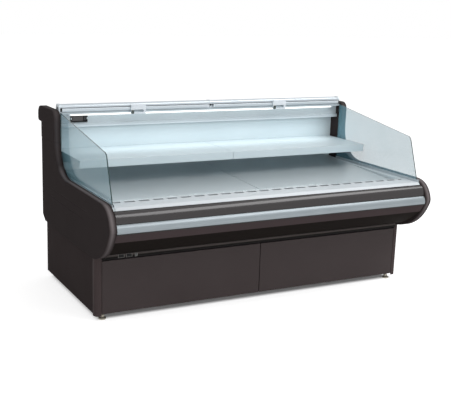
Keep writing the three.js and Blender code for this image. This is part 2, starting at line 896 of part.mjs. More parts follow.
// Air outlet grid between the hood's lip and the back panel
function airHoneycomb() {
  const half = halfBody - gap;
  const frontY = hoodFaceY + sheet + gap;
  const rearY = backPanelFrontY - gap;
  const bottomZ = hoodLipBottomZ + sheet + gap;
  const topZ = bottomZ + honeycombHeight;
  const pitch = (2 * (half - honeycombRim) + honeycombWall) / honeycombCells;
  const cells = Array.from({ length: honeycombCells }, (_, cell) => {
    const x = -half + honeycombRim + cell * pitch;
    return block(
      x, x + pitch - honeycombWall, frontY + honeycombRim, rearY - honeycombRim,
      bottomZ - overrun, topZ + overrun,
    );
  });
  return cutBy(block(-half, half, frontY, rearY, bottomZ, topZ), ...cells);
}

function lamp() {
  const half = halfBody - lampEndInset;
  const frontY = browFrontY + lampBrowSetback;
  const topZ = browBottomZ - gap;
  return alongX(outline([
    [frontY, topZ],
    [frontY, topZ - lampHeight, lampHeight / 2],
    [frontY + lampDepth, topZ - lampHeight, lampHeight / 2],
    [frontY + lampDepth, topZ],
  ]), -half, half);
}

const thermostatX = () => [
  -halfBody + thermostatInset, -halfBody + thermostatInset + thermostatWidth,
];
const thermostatTopZ = browBottomZ - thermostatDrop;

function thermostatBody(margin) {
  const [x0, x1] = thermostatX();
  return block(
    x0 + thermostatBodyMargin - margin, x1 - thermostatBodyMargin + margin,
    hoodFaceY - gap - thermostatProud / 2, hoodFaceY + thermostatBodyDepth,
    thermostatTopZ - thermostatHeight + thermostatBodyMargin - margin,
    thermostatTopZ - thermostatBodyMargin + margin,
  );
}

// Controller with a raised frame round its window
function thermostat() {
  const [x0, x1] = thermostatX();
  const bottomZ = thermostatTopZ - thermostatHeight;
  const faceY = hoodFaceY - gap - thermostatProud;
  const face = alongY(
    rectangle(x0, x1, bottomZ, thermostatTopZ, thermostatRadius), faceY, hoodFaceY - gap,
  );
  const window = block(
    x0 + bezelWidth, x1 - bezelWidth, faceY - overrun, faceY + bezelDepth,
    bottomZ + bezelWidth, thermostatTopZ - bezelWidth,
  );
  return cutBy(joined(face, thermostatBody(0)), window);
}

// Shelf of folded sheet: deck, deep front band with a return, and a rear fold
function shelf(side) {
  const inner = side * shelfMiddleGap;
  const outer = side * (halfBody - shelfEndInset);
  const rearY = backPanelFrontY - gap;
  const profile = bentSheet([
    [shelfFrontY + shelfBandReturn, shelfTopZ - shelfBand],
    [shelfFrontY, shelfTopZ - shelfBand],
    [shelfFrontY, shelfTopZ],
    [rearY, shelfTopZ],
    [rearY, shelfTopZ - shelfRearDrop],
  ], -sheet);
  return alongX(profile, Math.min(inner, outer), Math.max(inner, outer));
}

// Cantilever bracket: a tapered web under a flange, seated against the back panel
function shelfBracket(x) {
  const topZ = shelfTopZ - sheet - gap;
  const rearY = backPanelFrontY - gap - sheet - gap;
  const frontY = shelfFrontY + bracketFrontGap;
  const web = alongX(outline([
    [frontY, topZ],
    [frontY, topZ - bracketFrontHeight, bracketThickness],
    [rearY - bracketNotch, topZ - bracketRearHeight, bracketThickness],
    [rearY, topZ - bracketRearHeight],
    [rearY, topZ],
  ]), x - bracketThickness / 2, x + bracketThickness / 2);
  const flange = block(
    x - bracketFlange / 2, x + bracketFlange / 2, frontY, rearY, topZ - sheet, topZ,
  );
  const foot = block(
    x - bracketFlange / 2, x + bracketFlange / 2, rearY - overrun, backPanelFrontY - gap,
    topZ - bracketRearHeight, topZ - shelfRearDrop,
  );
  return joined(web, flange, foot);
}

// Lift-out pan: a sloping deck with its edges folded down; the front edge stands on the fan
// plate's flange and the rear edge on the back panel's
function deckPan(side) {
  const inner = side * panMiddleGap;
  const outer = side * (cavityHalf - panSideInset);
  const x0 = Math.min(inner, outer);
  const x1 = Math.max(inner, outer);
  const frontY = plinthFrontY - panFrontSetback;
  const rearY = backPanelFrontY - panRearGap;
  const restY = backPanelY - backPanelFlange;
  const frontZ = fanPlateTopZ + gap;
  const rearZ = tubTopZ + gap + sheet + gap;
  const pan = alongX(outline([
    [frontY, frontZ],
    [restY, rearZ],
    [rearY, rearZ],
    [rearY, rearZ + panLip],
    [frontY, frontZ + panLip],
  ]), x0, x1);
  const hollow = alongX(outline([
    [frontY + sheet, frontZ - overrun],
    [rearY - sheet, frontZ - overrun],
    [rearY - sheet, rearZ + panLip - sheet],
    [frontY + sheet, frontZ + panLip - sheet],
  ]), x0 + sheet, x1 - sheet);
  return cutBy(pan, hollow);
}

// Sill over the front wall, slotted for the air return and notched over the end walls
function frontSill() {
  const half = channelInnerX - gap;
  const frontY = tubFrontY - gap - sheet;
  const rearY = plinthFrontY - sillRearSetback;
  const profile = bentSheet([
    [frontY, sillTopZ - sillFrontFall - sillFrontHem],
    [frontY, sillTopZ - sillFrontFall],
    [frontY + sheet + sillFrontRun, sillTopZ],
    [rearY, sillTopZ],
    [rearY, sillTopZ - sillRearFold],
  ], -sheet);
  const pitch = (2 * half) / sillSlots;
  const slots = Array.from({ length: sillSlots }, (_, slot) => {
    const x = -half + pitch / 2 + slot * pitch;
    return block(
      x - (pitch * sillSlotShare) / 2, x + (pitch * sillSlotShare) / 2,
      rearY - sillSlotInset - sillSlotWidth, rearY - sillSlotInset,
      sillTopZ - sheet - overrun, sillTopZ + overrun,
    );
  });
  const notches = [-1, 1].map((side) => {
    const inner = side * (cavityHalf - gap);
    const outer = side * (half + overrun);
    return block(
      Math.min(inner, outer), Math.max(inner, outer), rearY - sheet - overrun, rearY + overrun,
      sillTopZ - sillRearFold - overrun, sillTopZ - sheet,
    );
  });
  return cutBy(alongX(profile, -half, half), ...slots, ...notches);
}

// Dark upper bumper; the sill's hem is tucked in behind its top edge
function upperBumper() {
  const half = halfBody - bumperEndInset;
  const rearY = tubFrontY - gap;
  const frontY = noseTipY + upperBumperSetback;
  const bottomZ = silverTopZ + bumperSeam;
  const topZ = bottomZ + upperBumperHeight;
  const hemY = rearY - sheet - gap;
  const hemZ = sillTopZ - sillFrontFall - sillFrontHem - gap;
  return alongX(new THREE.Shape([
    new THREE.Vector2(frontY, bottomZ),
    new THREE.Vector2(rearY, bottomZ),
    new THREE.Vector2(rearY, hemZ),
    new THREE.Vector2(hemY, hemZ),
    ...curvePoints(
      [hemY, topZ], [frontY + upperBumperShoulder, topZ - upperBumperCrown],
      [frontY, bottomZ],
    ).slice(0, -1),
  ]), -half, half);
}

function silverBumper() {
  const half = halfBody - bumperEndInset;
  const rearY = tubFrontY - gap;
  return alongX(new THREE.Shape([
    new THREE.Vector2(rearY, silverBottomZ),
    new THREE.Vector2(rearY, silverTopZ),
    ...curvePoints(
      [noseTipY + silverBumperTopSetback, silverTopZ],
      [noseTipY - silverBumperBulge, silverTopZ - silverBumperCrown],
      [noseTipY + silverBumperFootSetback, silverBottomZ],
    ),
  ]), -half, half);
}

// Bent sheet under the bumpers that sweeps back to the plinth
function lowerFascia() {
  const half = halfBody - bumperEndInset;
  const topZ = silverBottomZ - bumperSeam;
  const footY = plinthFrontY - fasciaFootSetback;
  const footZ = plinthTopZ + fasciaFootRise;
  return alongX(bentSheet([
    [tubFrontY - gap, topZ],
    [noseTipY + fasciaTopSetback, topZ],
    ...curvePoints(
      [noseTipY + fasciaCreaseSetback, topZ - fasciaCreaseDrop],
      [noseTipY + fasciaCurveSetback, topZ - fasciaCurveDrop],
      [footY, footZ],
    ),
    [footY, footZ + fasciaFootFlange],
  ], heavySheet), -half, half);
}

// Rail along the top of the plinth, with pockets and pivot holes for the two rockers
function switchRail() {
  const half = halfPlinth - postLeg - gap;
  const frontY = plinthFrontY - switchRailProud;
  const rearY = frontY + switchRailDepth;
  const bottomZ = railTopZ - switchRailHeight;
  const rail = alongX(outline([
    [frontY, bottomZ, switchRailRadius],
    [rearY, bottomZ],
    [rearY, railTopZ],
    [frontY, railTopZ, switchRailRadius],
  ]), -half, half);
  const pockets = rockerXs.map((x) => block(
    x - rockerWidth / 2 - rockerGap, x + rockerWidth / 2 + rockerGap,
    frontY - overrun, frontY + rockerPocketDepth,
    rockerZ - rockerHeight / 2 - rockerGap, rockerZ + rockerHeight / 2 + rockerGap,
  ));
  const pivotHoles = rockerXs.map((x) => rod(
    rockerPinRadius + gap, switchRailHeight + 2 * overrun, smallRoundSides,
  ).translate(x, rockerPivotY, bottomZ - overrun));
  return cutBy(rail, ...pockets, ...pivotHoles);
}

// Rocker with a dished face and a pivot pin above and below
function rockerSwitch(x) {
  const frontY = rockerPivotY - rockerDepth / 2;
  const key = alongZ(new THREE.Shape([
    new THREE.Vector2(x - rockerWidth / 2, rockerPivotY + rockerDepth / 2),
    new THREE.Vector2(x - rockerWidth / 2, frontY),
    new THREE.Vector2(x, frontY + rockerDish),
    new THREE.Vector2(x + rockerWidth / 2, frontY),
    new THREE.Vector2(x + rockerWidth / 2, rockerPivotY + rockerDepth / 2),
  ]), rockerZ - rockerHeight / 2, rockerZ + rockerHeight / 2);
  const pinLength = rockerHeight + 2 * (rockerGap + rockerPinHold);
  const pin = rod(rockerPinRadius, pinLength, smallRoundSides)
    .translate(x, rockerPivotY, rockerZ - pinLength / 2);
  return joined(key, pin);
}

// Ring of channel section round the plinth, open to the inside
function plinthRing(z0, z1) {
  const frame = (inset) => rectangle(
    -frameHalf + inset, frameHalf - inset, frameFrontY + inset, frameRearY - inset,
    frameCornerRadius,
  );
  const ring = frame(0);
  ring.holes.push(frame(frameBar));
  const inside = alongZ(frame(frameWall), z0 + frameWall, z1 - frameWall);
  return cutBy(alongZ(ring, z0, z1), inside);
}

// Angle section at a corner of the frame
function cornerAngle(x, y, z0, z1) {
  const alongBar = -Math.sign(x) * frameBar;
  const acrossBar = (y === frameFrontY ? 1 : -1) * frameBar;
  const wallX = -Math.sign(x) * frameWall;
  const wallY = (y === frameFrontY ? 1 : -1) * frameWall;
  return alongZ(outline([
    [x, y, frameCornerRadius],
    [x + alongBar, y],
    [x + alongBar, y + wallY],
    [x + wallX, y + wallY, frameCornerRadius - frameWall],
    [x + wallX, y + acrossBar],
    [x, y + acrossBar],
  ]), z0, z1);
}

// Channel section bar across the frame, open downwards
function crossBar(x, z1) {
  const bar = block(
    x - frameBar / 2, x + frameBar / 2, frameFrontY + frameWall / 2,
    frameRearY - frameWall / 2, z1 - frameBar, z1,
  );
  const inside = block(
    x - frameBar / 2 + frameWall, x + frameBar / 2 - frameWall, frameFrontY + frameBar,
    frameRearY - frameBar, z1 - frameBar - overrun, z1 - frameWall,
  );
  return cutBy(bar, inside);
}

const footPlaces = () => [-1, 1].flatMap((side) => [
  [side * (halfPlinth - footInset), frameFrontY + frameBar / 2],
  [side * (halfPlinth - footInset), frameRearY - frameBar / 2],
]);

// Welded frame: two rings, corner angles, cross bars and the plate for the condensing unit
function baseFrame() {
  const angles = [-frameHalf, frameHalf].flatMap((x) => [frameFrontY, frameRearY].map(
    (y) => cornerAngle(x, y, frameBottomZ + frameWall / 2, plinthTopZ - frameWall / 2),
  ));
  const bars = [-crossBarSpacing / 2, crossBarSpacing / 2].map((x) => crossBar(x, plinthTopZ));
  const unitPlate = block(
    unitPlateFrom, unitPlateTo, frameFrontY + frameWall, frameRearY - frameWall,
    frameFloorZ - frameWall, frameFloorZ,
  );
  const studHoles = footPlaces().map(([x, y]) => rod(
    footStudRadius + gap, frameBar, roundSides,
  ).translate(x, y, frameBottomZ - overrun));
  const frame = joined(
    plinthRing(frameBottomZ, frameFloorZ), plinthRing(plinthTopZ - frameBar, plinthTopZ),
    ...angles, ...bars, unitPlate,
  );
  return cutBy(frame, ...studHoles);
}

// Foot that screws into the frame: disc, cone, nut and stud
function levellingFoot() {
  return turned([
    [0, 0],
    [footDiscRadius, 0],
    [footDiscRadius, footDiscHeight],
    [footNutRadius, footDiscHeight + footConeHeight],
    [footNutRadius, frameBottomZ - gap],
    [footStudRadius, frameBottomZ - gap],
    [footStudRadius, frameBottomZ + footStudHold],
    [0, frameBottomZ + footStudHold],
  ], footSides);
}

// Rounded corner of the plinth
function cornerPost(side) {
  const x = side * halfPlinth;
  const y = plinthFrontY;
  return alongZ(outline([
    [x, y, postRadius, fineArcSteps],
    [x - side * postLeg, y],
    [x - side * postLeg, y + postWall],
    [x - side * postWall, y + postWall, postRadius - postWall, fineArcSteps],
    [x - side * postWall, y + postLeg],
    [x, y + postLeg],
  ]), footHeight, plinthTopZ);
}

function sidePanel(side) {
  const outerX = side * halfPlinth;
  const innerX = side * (halfPlinth - postWall);
  const foldX = side * (halfPlinth - sidePanelFold);
  const frontY = plinthFrontY + postLeg + gap;
  return alongZ(outline([
    [outerX, frontY],
    [outerX, plinthRearY],
    [foldX, plinthRearY],
    [foldX, plinthRearY - postWall],
    [innerX, plinthRearY - postWall],
    [innerX, frontY],
  ]), frameBottomZ, plinthTopZ - gap);
}

// Base panel folded like a tray, open at the back
function frontPanel(side) {
  const inner = side * frontPanelGap;
  const outer = side * (halfPlinth - postLeg - frontPanelGap);
  const x0 = Math.min(inner, outer);
  const x1 = Math.max(inner, outer);
  const rearY = plinthFrontY + frontPanelDepth;
  const topZ = plinthTopZ - frontPanelTopGap;
  return cutBy(
    block(x0, x1, plinthFrontY, rearY, frameBottomZ, topZ),
    block(
      x0 + sheet, x1 - sheet, plinthFrontY + sheet, rearY + overrun,
      frameBottomZ + sheet, topZ - sheet,
    ),
  );
}

// Rear panel with rows of louvres pressed outwards and open downwards
function rearPanel() {
  const half = halfPlinth - sidePanelFold - gap;
  const innerY = plinthRearY - postWall;
  const plate = block(
    -half, half, innerY, plinthRearY, frameBottomZ, plinthTopZ - rearPanelTopGap,
  );
  const hoods = [];
  const mouths = [];
  for (let row = 0; row < louvreRows; row += 1) {
    const z = plinthTopZ - louvreTopDrop - row * louvrePitch;
    for (let column = 0; column < louvreColumns; column += 1) {
      const x = (column - (louvreColumns - 1) / 2) * louvreSpacing;
      hoods.push(alongX(outline([
        [innerY + postWall / 2, z],
        [plinthRearY, z],
        [plinthRearY + louvreProud, z],
        [plinthRearY, z + louvreHeight],
        [innerY + postWall / 2, z + louvreHeight],
      ]), x - louvreLength / 2, x + louvreLength / 2));
      mouths.push(alongX(outline([
        [innerY - overrun, z],
        [plinthRearY + louvreProud * louvreOpenShare, z],
        [plinthRearY, z + louvreHeight * louvreOpenShare],
        [innerY - overrun, z + louvreHeight * louvreOpenShare],
      ]), x - louvreLength / 2 + sheet, x + louvreLength / 2 - sheet));
    }
  }
  return cutBy(joined(plate, ...hoods), ...mouths);
}

// Hermetic compressor on its foot plate, with a terminal box, the suction port and the pipes
function compressor() {
  const bottomZ = frameFloorZ + gap;
  const shoulderZ = compressorHeight - compressorCrown;
  const crown = curvePoints(
    [compressorRadius, shoulderZ], [compressorRadius, compressorHeight], [0, compressorHeight],
  );
  const pot = turned([
    [0, 0], [compressorRadius, 0], ...crown.map((point) => [point.x, point.y]),
  ]).translate(compressorX, suctionY, bottomZ);
  const plate = block(
    compressorX - compressorFootWidth / 2, compressorX + compressorFootWidth / 2,
    suctionY - compressorFootWidth / 2, suctionY + compressorFootWidth / 2,
    bottomZ, bottomZ + compressorFootHeight,
  );
  const terminals = block(
    compressorX - terminalWidth / 2, compressorX + terminalWidth / 2,
    suctionY - compressorRadius - terminalDepth / 2, suctionY - compressorRadius / 2,
    bottomZ + terminalRise, bottomZ + terminalRise + terminalHeight,
  );
  const portRadius = suctionRadius + portFlare;
  const port = rod(portRadius, compressorPortZ - bottomZ - shoulderZ / 2, smallRoundSides)
    .translate(compressorX + compressorPortOffset, suctionY, bottomZ + shoulderZ / 2);
  return joined(pot, plate, terminals, port, refrigerantPipes());
}

const condenserCoil = () => finPack(
  condenserX - condenserLength / 2, condenserX + condenserLength / 2,
  condenserY - condenserDepth / 2, condenserY + condenserDepth / 2,
  condenserZ - condenserHeight / 2, condenserZ + condenserHeight / 2,
  condenserFins,
);

// Box that ducts the fan onto the condenser, with the spider and pin that carry the fan
function condenserFanShroud() {
  const x0 = condenserX - condenserLength / 2;
  const x1 = condenserX + condenserLength / 2;
  const z0 = condenserZ - condenserHeight / 2;
  const z1 = condenserZ + condenserHeight / 2;
  const frontY = shroudRearY - shroudDepth;
  const shape = rectangle(x0, x1, z0, z1);
  const openingRadius = condenserFanRadius + fanTipGap;
  shape.holes.push(...spiderSectors(condenserX, condenserZ, openingRadius));
  const plate = alongY(shape, frontY, frontY + shroudWall);
  const walls = cutBy(
    block(x0, x1, frontY, shroudRearY, z0, z1),
    block(
      x0 + shroudWall, x1 - shroudWall, frontY - overrun, shroudRearY + overrun,
      z0 + shroudWall, z1 - shroudWall,
    ),
  );
  const pin = rod(fanPinRadius, fanPinLength, smallRoundSides).rotateX(-Math.PI / 2)
    .translate(condenserX, frontY + shroudWall / 2, condenserZ);
  return joined(plate, walls, pin);
}

// Housing of a night blind: a folded cover with a slot along its front
function blindHousing(side) {
  const inner = side * (middleBracketHalf + gap);
  const outer = side * (halfBody - gap - capThickness - gap);
  const slotZ = housingBottomZ + housingLipHeight;
  const line = cornerPoints([
    [housingFrontY, slotZ + housingSlot],
    [housingFrontY, housingTopZ, housingRadius],
    [housingRearY, housingTopZ, housingRadius],
    [housingRearY, housingBottomZ],
    [housingFrontY, housingBottomZ],
    [housingFrontY, slotZ],
  ]);
  return alongX(bentSheet(line, -sheet), Math.min(inner, outer), Math.max(inner, outer));
}

// Roller between an end cap and the middle bracket, on a pin at each end
function blindRoller(side) {
  const inner = middleBracketHalf + 2 * gap;
  const outer = halfBody - gap - capThickness - 2 * gap;
  const length = outer - inner;
  const profile = [
    [0, -rollerPinLength],
    [rollerPinRadius, -rollerPinLength],
    [rollerPinRadius, 0],
    [rollerRadius, 0],
    [rollerRadius, length],
    [rollerPinRadius, length],
    [rollerPinRadius, length + rollerPinLength],
    [0, length + rollerPinLength],
  ];
  return turned(profile, smallRoundSides).rotateY(side * Math.PI / 2)
    .translate(side * inner, rollerY, rollerZ);
}

// Outline of the plates that hold the rollers, proud of the housing all round
const rollerPlate = () => outline([
  [housingFrontY - capMargin, housingBottomZ],
  [housingFrontY - capMargin, housingTopZ + capMargin, housingRadius + capMargin],
  [housingRearY + capMargin, housingTopZ + capMargin, housingRadius + capMargin],
  [housingRearY + capMargin, housingBottomZ],
]);

const pinHole = (x0, x1) => rod(rollerPinRadius + gap, x1 - x0, smallRoundSides)
  .rotateY(Math.PI / 2).translate(x0, rollerY, rollerZ);

function blindEndCap(side) {
  const outer = side * (halfBody - gap);
  const inner = outer - side * capThickness;
  const holeEnd = inner + side * (rollerPinLength + gap);
  const holeStart = inner - side * overrun;
  return cutBy(
    alongX(rollerPlate(), Math.min(inner, outer), Math.max(inner, outer)),
    pinHole(Math.min(holeStart, holeEnd), Math.max(holeStart, holeEnd)),
  );
}

const blindBracketMiddle = () => cutBy(
  alongX(rollerPlate(), -middleBracketHalf, middleBracketHalf),
  pinHole(-middleBracketHalf - overrun, middleBracketHalf + overrun),
);

// Bar at the free edge of a blind
function blindPullBar(side) {
  const inner = side * (middleBracketHalf + pullBarEndGap);
  const outer = side * (halfBody - pullBarEndGap);
  const rearY = housingFrontY - capMargin - gap;
  const bottomZ = housingBottomZ + pullBarRise;
  return alongX(
    rectangle(rearY - pullBarDepth, rearY, bottomZ, bottomZ + pullBarHeight, pullBarRadius),
    Math.min(inner, outer), Math.max(inner, outer),
  );
}

// Flat handle with a hand hole, fixed to the front of the pull bar
function blindHandle(side) {
  const x = side * (middleBracketHalf + halfBody) / 2;
  const rearY = housingFrontY - capMargin - pullBarDepth - 2 * gap;
  const bottomZ = housingBottomZ + pullBarRise - handleDrop;
  const shape = rectangle(
    x - handleWidth / 2, x + handleWidth / 2, bottomZ, bottomZ + handleHeight, handleRadius,
  );
  shape.holes.push(rectangle(
    x - handleGripWidth / 2, x + handleGripWidth / 2,
    bottomZ + handleGripRise, bottomZ + handleGripRise + handleGripHeight, handleRadius,
  ));
  return alongY(shape, rearY - handleDepth, rearY);
}

// Trapezoid side glass
function sideGlass(side) {
  const footZ = glassFootZ;
  return alongX(outline([
    [plinthFrontY - glassFootSetback, footZ],
    [browFrontY - glassBrowGap, footZ],
    [browFrontY - glassBrowGap, ledgeZ + glassRearRise],
    [plinthFrontY - glassCornerSetback, ledgeZ + glassCornerRise, glassCornerRadius,
      fineArcSteps],
  ]), side * glassX - glassThickness / 2, side * glassX + glassThickness / 2);
}

function glassChannel(side) {
  const x = side * glassX;
  const slotHalf = glassThickness / 2 + gap;
  const bottomZ = tubTopZ + gap;
  const floorZ = bottomZ + channelFloor;
  return alongY(outline([
    [x - slotHalf - channelWall, bottomZ],
    [x + slotHalf + channelWall, bottomZ],
    [x + slotHalf + channelWall, ledgeZ],
    [x + slotHalf, ledgeZ],
    [x + slotHalf, floorZ],
    [x - slotHalf, floorZ],
    [x - slotHalf, ledgeZ],
    [x - slotHalf - channelWall, ledgeZ],
  ]), plinthFrontY - channelFrontSetback, browFrontY - glassBrowGap);
}

const sides = [['left', -1], ['right', 1]];

// Plinth and the condensing unit inside it
add('base_frame', baseFrame(), darkSheet());
sides.forEach(([name, side]) => {
  add(`corner_post_${name}`, cornerPost(side), darkMoulding());
  add(`side_panel_${name}`, sidePanel(side), darkSheet());
  add(`front_panel_${name}`, frontPanel(side), darkSheet());
});
add('rear_panel', rearPanel(), darkSheet());
const footNames = ['front_left', 'rear_left', 'front_right', 'rear_right'];
footPlaces().forEach(([x, y], index) => {
  add(`levelling_foot_${footNames[index]}`, levellingFoot().translate(x, y, 0), zinc());
});
add('compressor', compressor(), castBlack());
add('condenser_coil', condenserCoil(), aluminium());
add('condenser_fan_shroud', condenserFanShroud(), darkSheet());
add('condenser_fan', fan(condenserFanRadius).translate(
  condenserX, shroudRearY - shroudDepth + shroudWall + fanHubStandOff, condenserZ,
), blackPlastic());

// Tub and the air circuit
add('insulated_tub', insulatedTub(), foamWhite());
add('drain_pipe', drainPipe(), blackPlastic());
add('evaporator_coil', evaporatorCoil(), copper());
add('fan_plate', fanPlate(), paleSteel());
fanCentres().forEach((x, index) => {
  add(`evaporator_fan_${sides[index][0]}`, fan(fanOpeningRadius - fanTipGap).translate(
    x, fanPlateY + heavySheet + fanHubStandOff, fanCentreZ,
  ), blackPlastic());
});
add('back_panel', backPanel(), paleSteel());
add('hood', hood(), paleSteel());
add('air_honeycomb', airHoneycomb(), blackPlastic());
add('lamp', lamp(), lampWhite());
add('thermostat', thermostat(), blackPlastic());

// Night blinds
add('blind_bracket_middle', blindBracketMiddle(), blackPlastic());
sides.forEach(([name, side]) => {
  add(`blind_end_cap_${name}`, blindEndCap(side), blackPlastic());
  add(`blind_housing_${name}`, blindHousing(side), aluminium());
  add(`blind_roller_${name}`, blindRoller(side), aluminium());
  add(`blind_pull_bar_${name}`, blindPullBar(side), aluminium());
  add(`blind_handle_${name}`, blindHandle(side), whitePlastic());
});

// Shelf, deck and front
[['left', -1], ['middle', 0], ['right', 1]].forEach(([name, side]) => {
  add(`shelf_bracket_${name}`, shelfBracket(side * (halfBody - bracketEndInset)), paleSteel());
});
sides.forEach(([name, side]) => {
  add(`shelf_${name}`, shelf(side), paleSteel());
  add(`deck_pan_${name}`, deckPan(side), paleSteel());
});
add('front_sill', frontSill(), paleSteel());
add('upper_bumper', upperBumper(), darkMoulding());
add('silver_bumper', silverBumper(), stainless());
add('lower_fascia', lowerFascia(), darkSheet());
add('switch_rail', switchRail(), darkMoulding());
rockerXs.forEach((x, index) => {
  add(`rocker_switch_${sides[index][0]}`, rockerSwitch(x), blackPlastic());
});

// Ends and side glasses
sides.forEach(([name, side]) => {
  add(`end_panel_${name}`, endPanel(side), darkMoulding());
  add(`upright_cover_${name}`, uprightCover(side), darkMoulding());
  add(`glass_channel_${name}`, glassChannel(side), aluminium());
  add(`side_glass_${name}`, sideGlass(side), clearGlass());
});

export default cabinet;
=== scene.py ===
# %% [markdown]
# # Dressing a refrigerated display cabinet
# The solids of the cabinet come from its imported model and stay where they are. This lesson gives
# them their finishes and puts finer pieces over the ones that the eye rests on: the moulded ends,
# the bumpers, the glass, the night blinds and the controls. Everything is in metres: X runs along
# the cabinet, its open front looks along -Y, and Z is up from the floor.

# %% Load the fixed frame
import json
import math

import bmesh
import bpy
from mathutils import Matrix, Vector
from mathutils.geometry import interpolate_bezier

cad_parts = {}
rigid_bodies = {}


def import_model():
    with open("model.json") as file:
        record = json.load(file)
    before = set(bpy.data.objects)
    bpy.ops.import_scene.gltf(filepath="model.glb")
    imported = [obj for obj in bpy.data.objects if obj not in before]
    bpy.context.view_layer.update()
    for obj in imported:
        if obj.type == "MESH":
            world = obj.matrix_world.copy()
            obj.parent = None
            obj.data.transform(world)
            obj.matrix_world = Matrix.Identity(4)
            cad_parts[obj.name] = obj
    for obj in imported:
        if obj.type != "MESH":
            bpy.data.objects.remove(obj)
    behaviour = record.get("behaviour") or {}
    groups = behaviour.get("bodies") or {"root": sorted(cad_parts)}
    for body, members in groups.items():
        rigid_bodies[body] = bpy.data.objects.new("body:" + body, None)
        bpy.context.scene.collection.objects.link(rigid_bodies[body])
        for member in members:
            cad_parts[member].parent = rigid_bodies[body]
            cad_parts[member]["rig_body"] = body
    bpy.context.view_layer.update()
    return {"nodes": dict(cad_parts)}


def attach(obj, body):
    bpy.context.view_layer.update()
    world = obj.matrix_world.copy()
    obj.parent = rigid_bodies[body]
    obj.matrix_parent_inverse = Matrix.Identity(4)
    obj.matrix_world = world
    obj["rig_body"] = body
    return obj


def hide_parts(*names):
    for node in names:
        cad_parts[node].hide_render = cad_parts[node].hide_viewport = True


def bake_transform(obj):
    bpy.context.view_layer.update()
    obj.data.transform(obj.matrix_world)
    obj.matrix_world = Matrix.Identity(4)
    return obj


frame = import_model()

body_of = {name: node["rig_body"] for name, node in frame["nodes"].items()}

# %% [markdown]
# The camera stands off the cabinet's front left corner, a little above the blinds, and looks
# slightly down. Two turns bring the camera from looking straight down to looking along the
# cabinet's depth, and a third gives the small lean of the picture. A long lens keeps the far end
# nearly as large as the near one.

# %% Place the camera
PICTURE_WIDTH, FOCAL_PIXELS = 451, 875.36
CAMERA_PLACE = (-2.3825, -4.3608, 1.6294)
TURN, TIP, LEAN = math.radians(-28.17), math.radians(90 - 13.12), 0.033


def add_object(name, data):
    added = bpy.data.objects.new(name, data)
    bpy.context.scene.collection.objects.link(added)
    return added


lens = bpy.data.cameras.new("camera")
lens.sensor_width = 36
lens.lens = lens.sensor_width * FOCAL_PIXELS / PICTURE_WIDTH
camera = add_object("camera", lens)
camera.matrix_world = (Matrix.Translation(CAMERA_PLACE) @ Matrix.Rotation(TURN, 4, "Z")
                       @ Matrix.Rotation(TIP, 4, "X") @ Matrix.Rotation(LEAN, 4, "Z"))
bpy.context.scene.camera = camera
bpy.context.scene.view_settings.view_transform = "Standard"
print("lens:", round(lens.lens, 2), "mm")

# %% [markdown]
# Shader maths is easier to read as sums than as a web of nodes. One small class holds the end of
# a wire: adding, taking away or multiplying it puts in the Math node that does so, and its one
# method for other nodes sets a node's choices first and then its sockets.


# %% A wire that can be added and multiplied
class Wire:
    """The output of one node, with sums written in Python."""

    def __init__(self, socket):
        self.socket = socket
        self.tree = socket.id_data

    def node(self, kind, choices=None, sockets=None, out=0):
        added = self.tree.nodes.new(kind)
        for name, value in (choices or {}).items():
            setattr(added, name, value)
        for name, value in (sockets or {}).items():
            if isinstance(value, Wire):
                self.tree.links.new(value.socket, added.inputs[name])
            else:
                added.inputs[name].default_value = value
        return Wire(added.outputs[out])

    def maths(self, operation, first, second=0.0):
        return self.node("ShaderNodeMath", {"operation": operation}, {0: first, 1: second})

    def __add__(self, other):
        return self.maths("ADD", self, other)

    def __radd__(self, other):
        return self.maths("ADD", other, self)

    def __sub__(self, other):
        return self.maths("SUBTRACT", self, other)

    def __rsub__(self, other):
        return self.maths("SUBTRACT", other, self)

    def __mul__(self, other):
        return self.maths("MULTIPLY", self, other)

    def __rmul__(self, other):
        return self.maths("MULTIPLY", other, self)

    def __gt__(self, other):
        return self.maths("GREATER_THAN", self, other)

    def __lt__(self, other):
        return self.maths("LESS_THAN", self, other)

    def __abs__(self):
        return self.maths("ABSOLUTE", self)

    def at_least(self, other):
        return self.maths("MAXIMUM", self, other)

    def at_most(self, other):
        return self.maths("MINIMUM", self, other)

    def shade(self, dark, light):
        """Runs from one colour to another as this wire goes from 0 to 1."""
        return self.node("ShaderNodeMix", {"data_type": "RGBA", "clamp_factor": True},
                         {0: self, 6: dark, 7: light}, out=2)

    def cloudy(self, size, detail=3.0, stretch=(1, 1, 1)):
        """Soft noise whose blobs are about size metres across, stretched along an axis."""
        scaled = self.node("ShaderNodeMapping", {}, {
            "Vector": self, "Scale": tuple(1 / (size * s) for s in stretch)})
        return self.node("ShaderNodeTexNoise", {}, {
            "Vector": scaled, "Scale": 1.0, "Detail": detail, "Roughness": 0.55})

    def axis(self, name):
        return self.node("ShaderNodeSeparateXYZ", {}, {0: self}, out="XYZ".index(name))


print("Wire ready")

# %% [markdown]
# Paint charts give colours as screen numbers from 0 to 255, while a shader works with amounts of
# light. A helper turns one into the other by the screen's own curve. A second one starts a
# material, hands over the place of each point on the object, and lets the caller describe the
# surface from it.


# %% Start a material
def tint(red, green, blue):
    channels = [c / 255 for c in (red, green, blue)]
    return tuple(
        c / 12.92 if c <= 0.04045 else ((c + 0.055) / 1.055) ** 2.4 for c in channels
    ) + (1.0,)


def finish(name, describe, **constants):
    """A Principled material. describe(place) gives the sockets that change over the surface."""
    material = bpy.data.materials.new(name)
    material.use_nodes = True
    tree = material.node_tree
    shader = tree.nodes["Principled BSDF"]
    for socket, value in constants.items():
        shader.inputs[socket.replace("_", " ")].default_value = value
    place = Wire(tree.nodes.new("ShaderNodeTexCoord").outputs["Object"])
    for socket, wire in describe(place).items():
        tree.links.new(wire.socket, shader.inputs[socket])
    return material


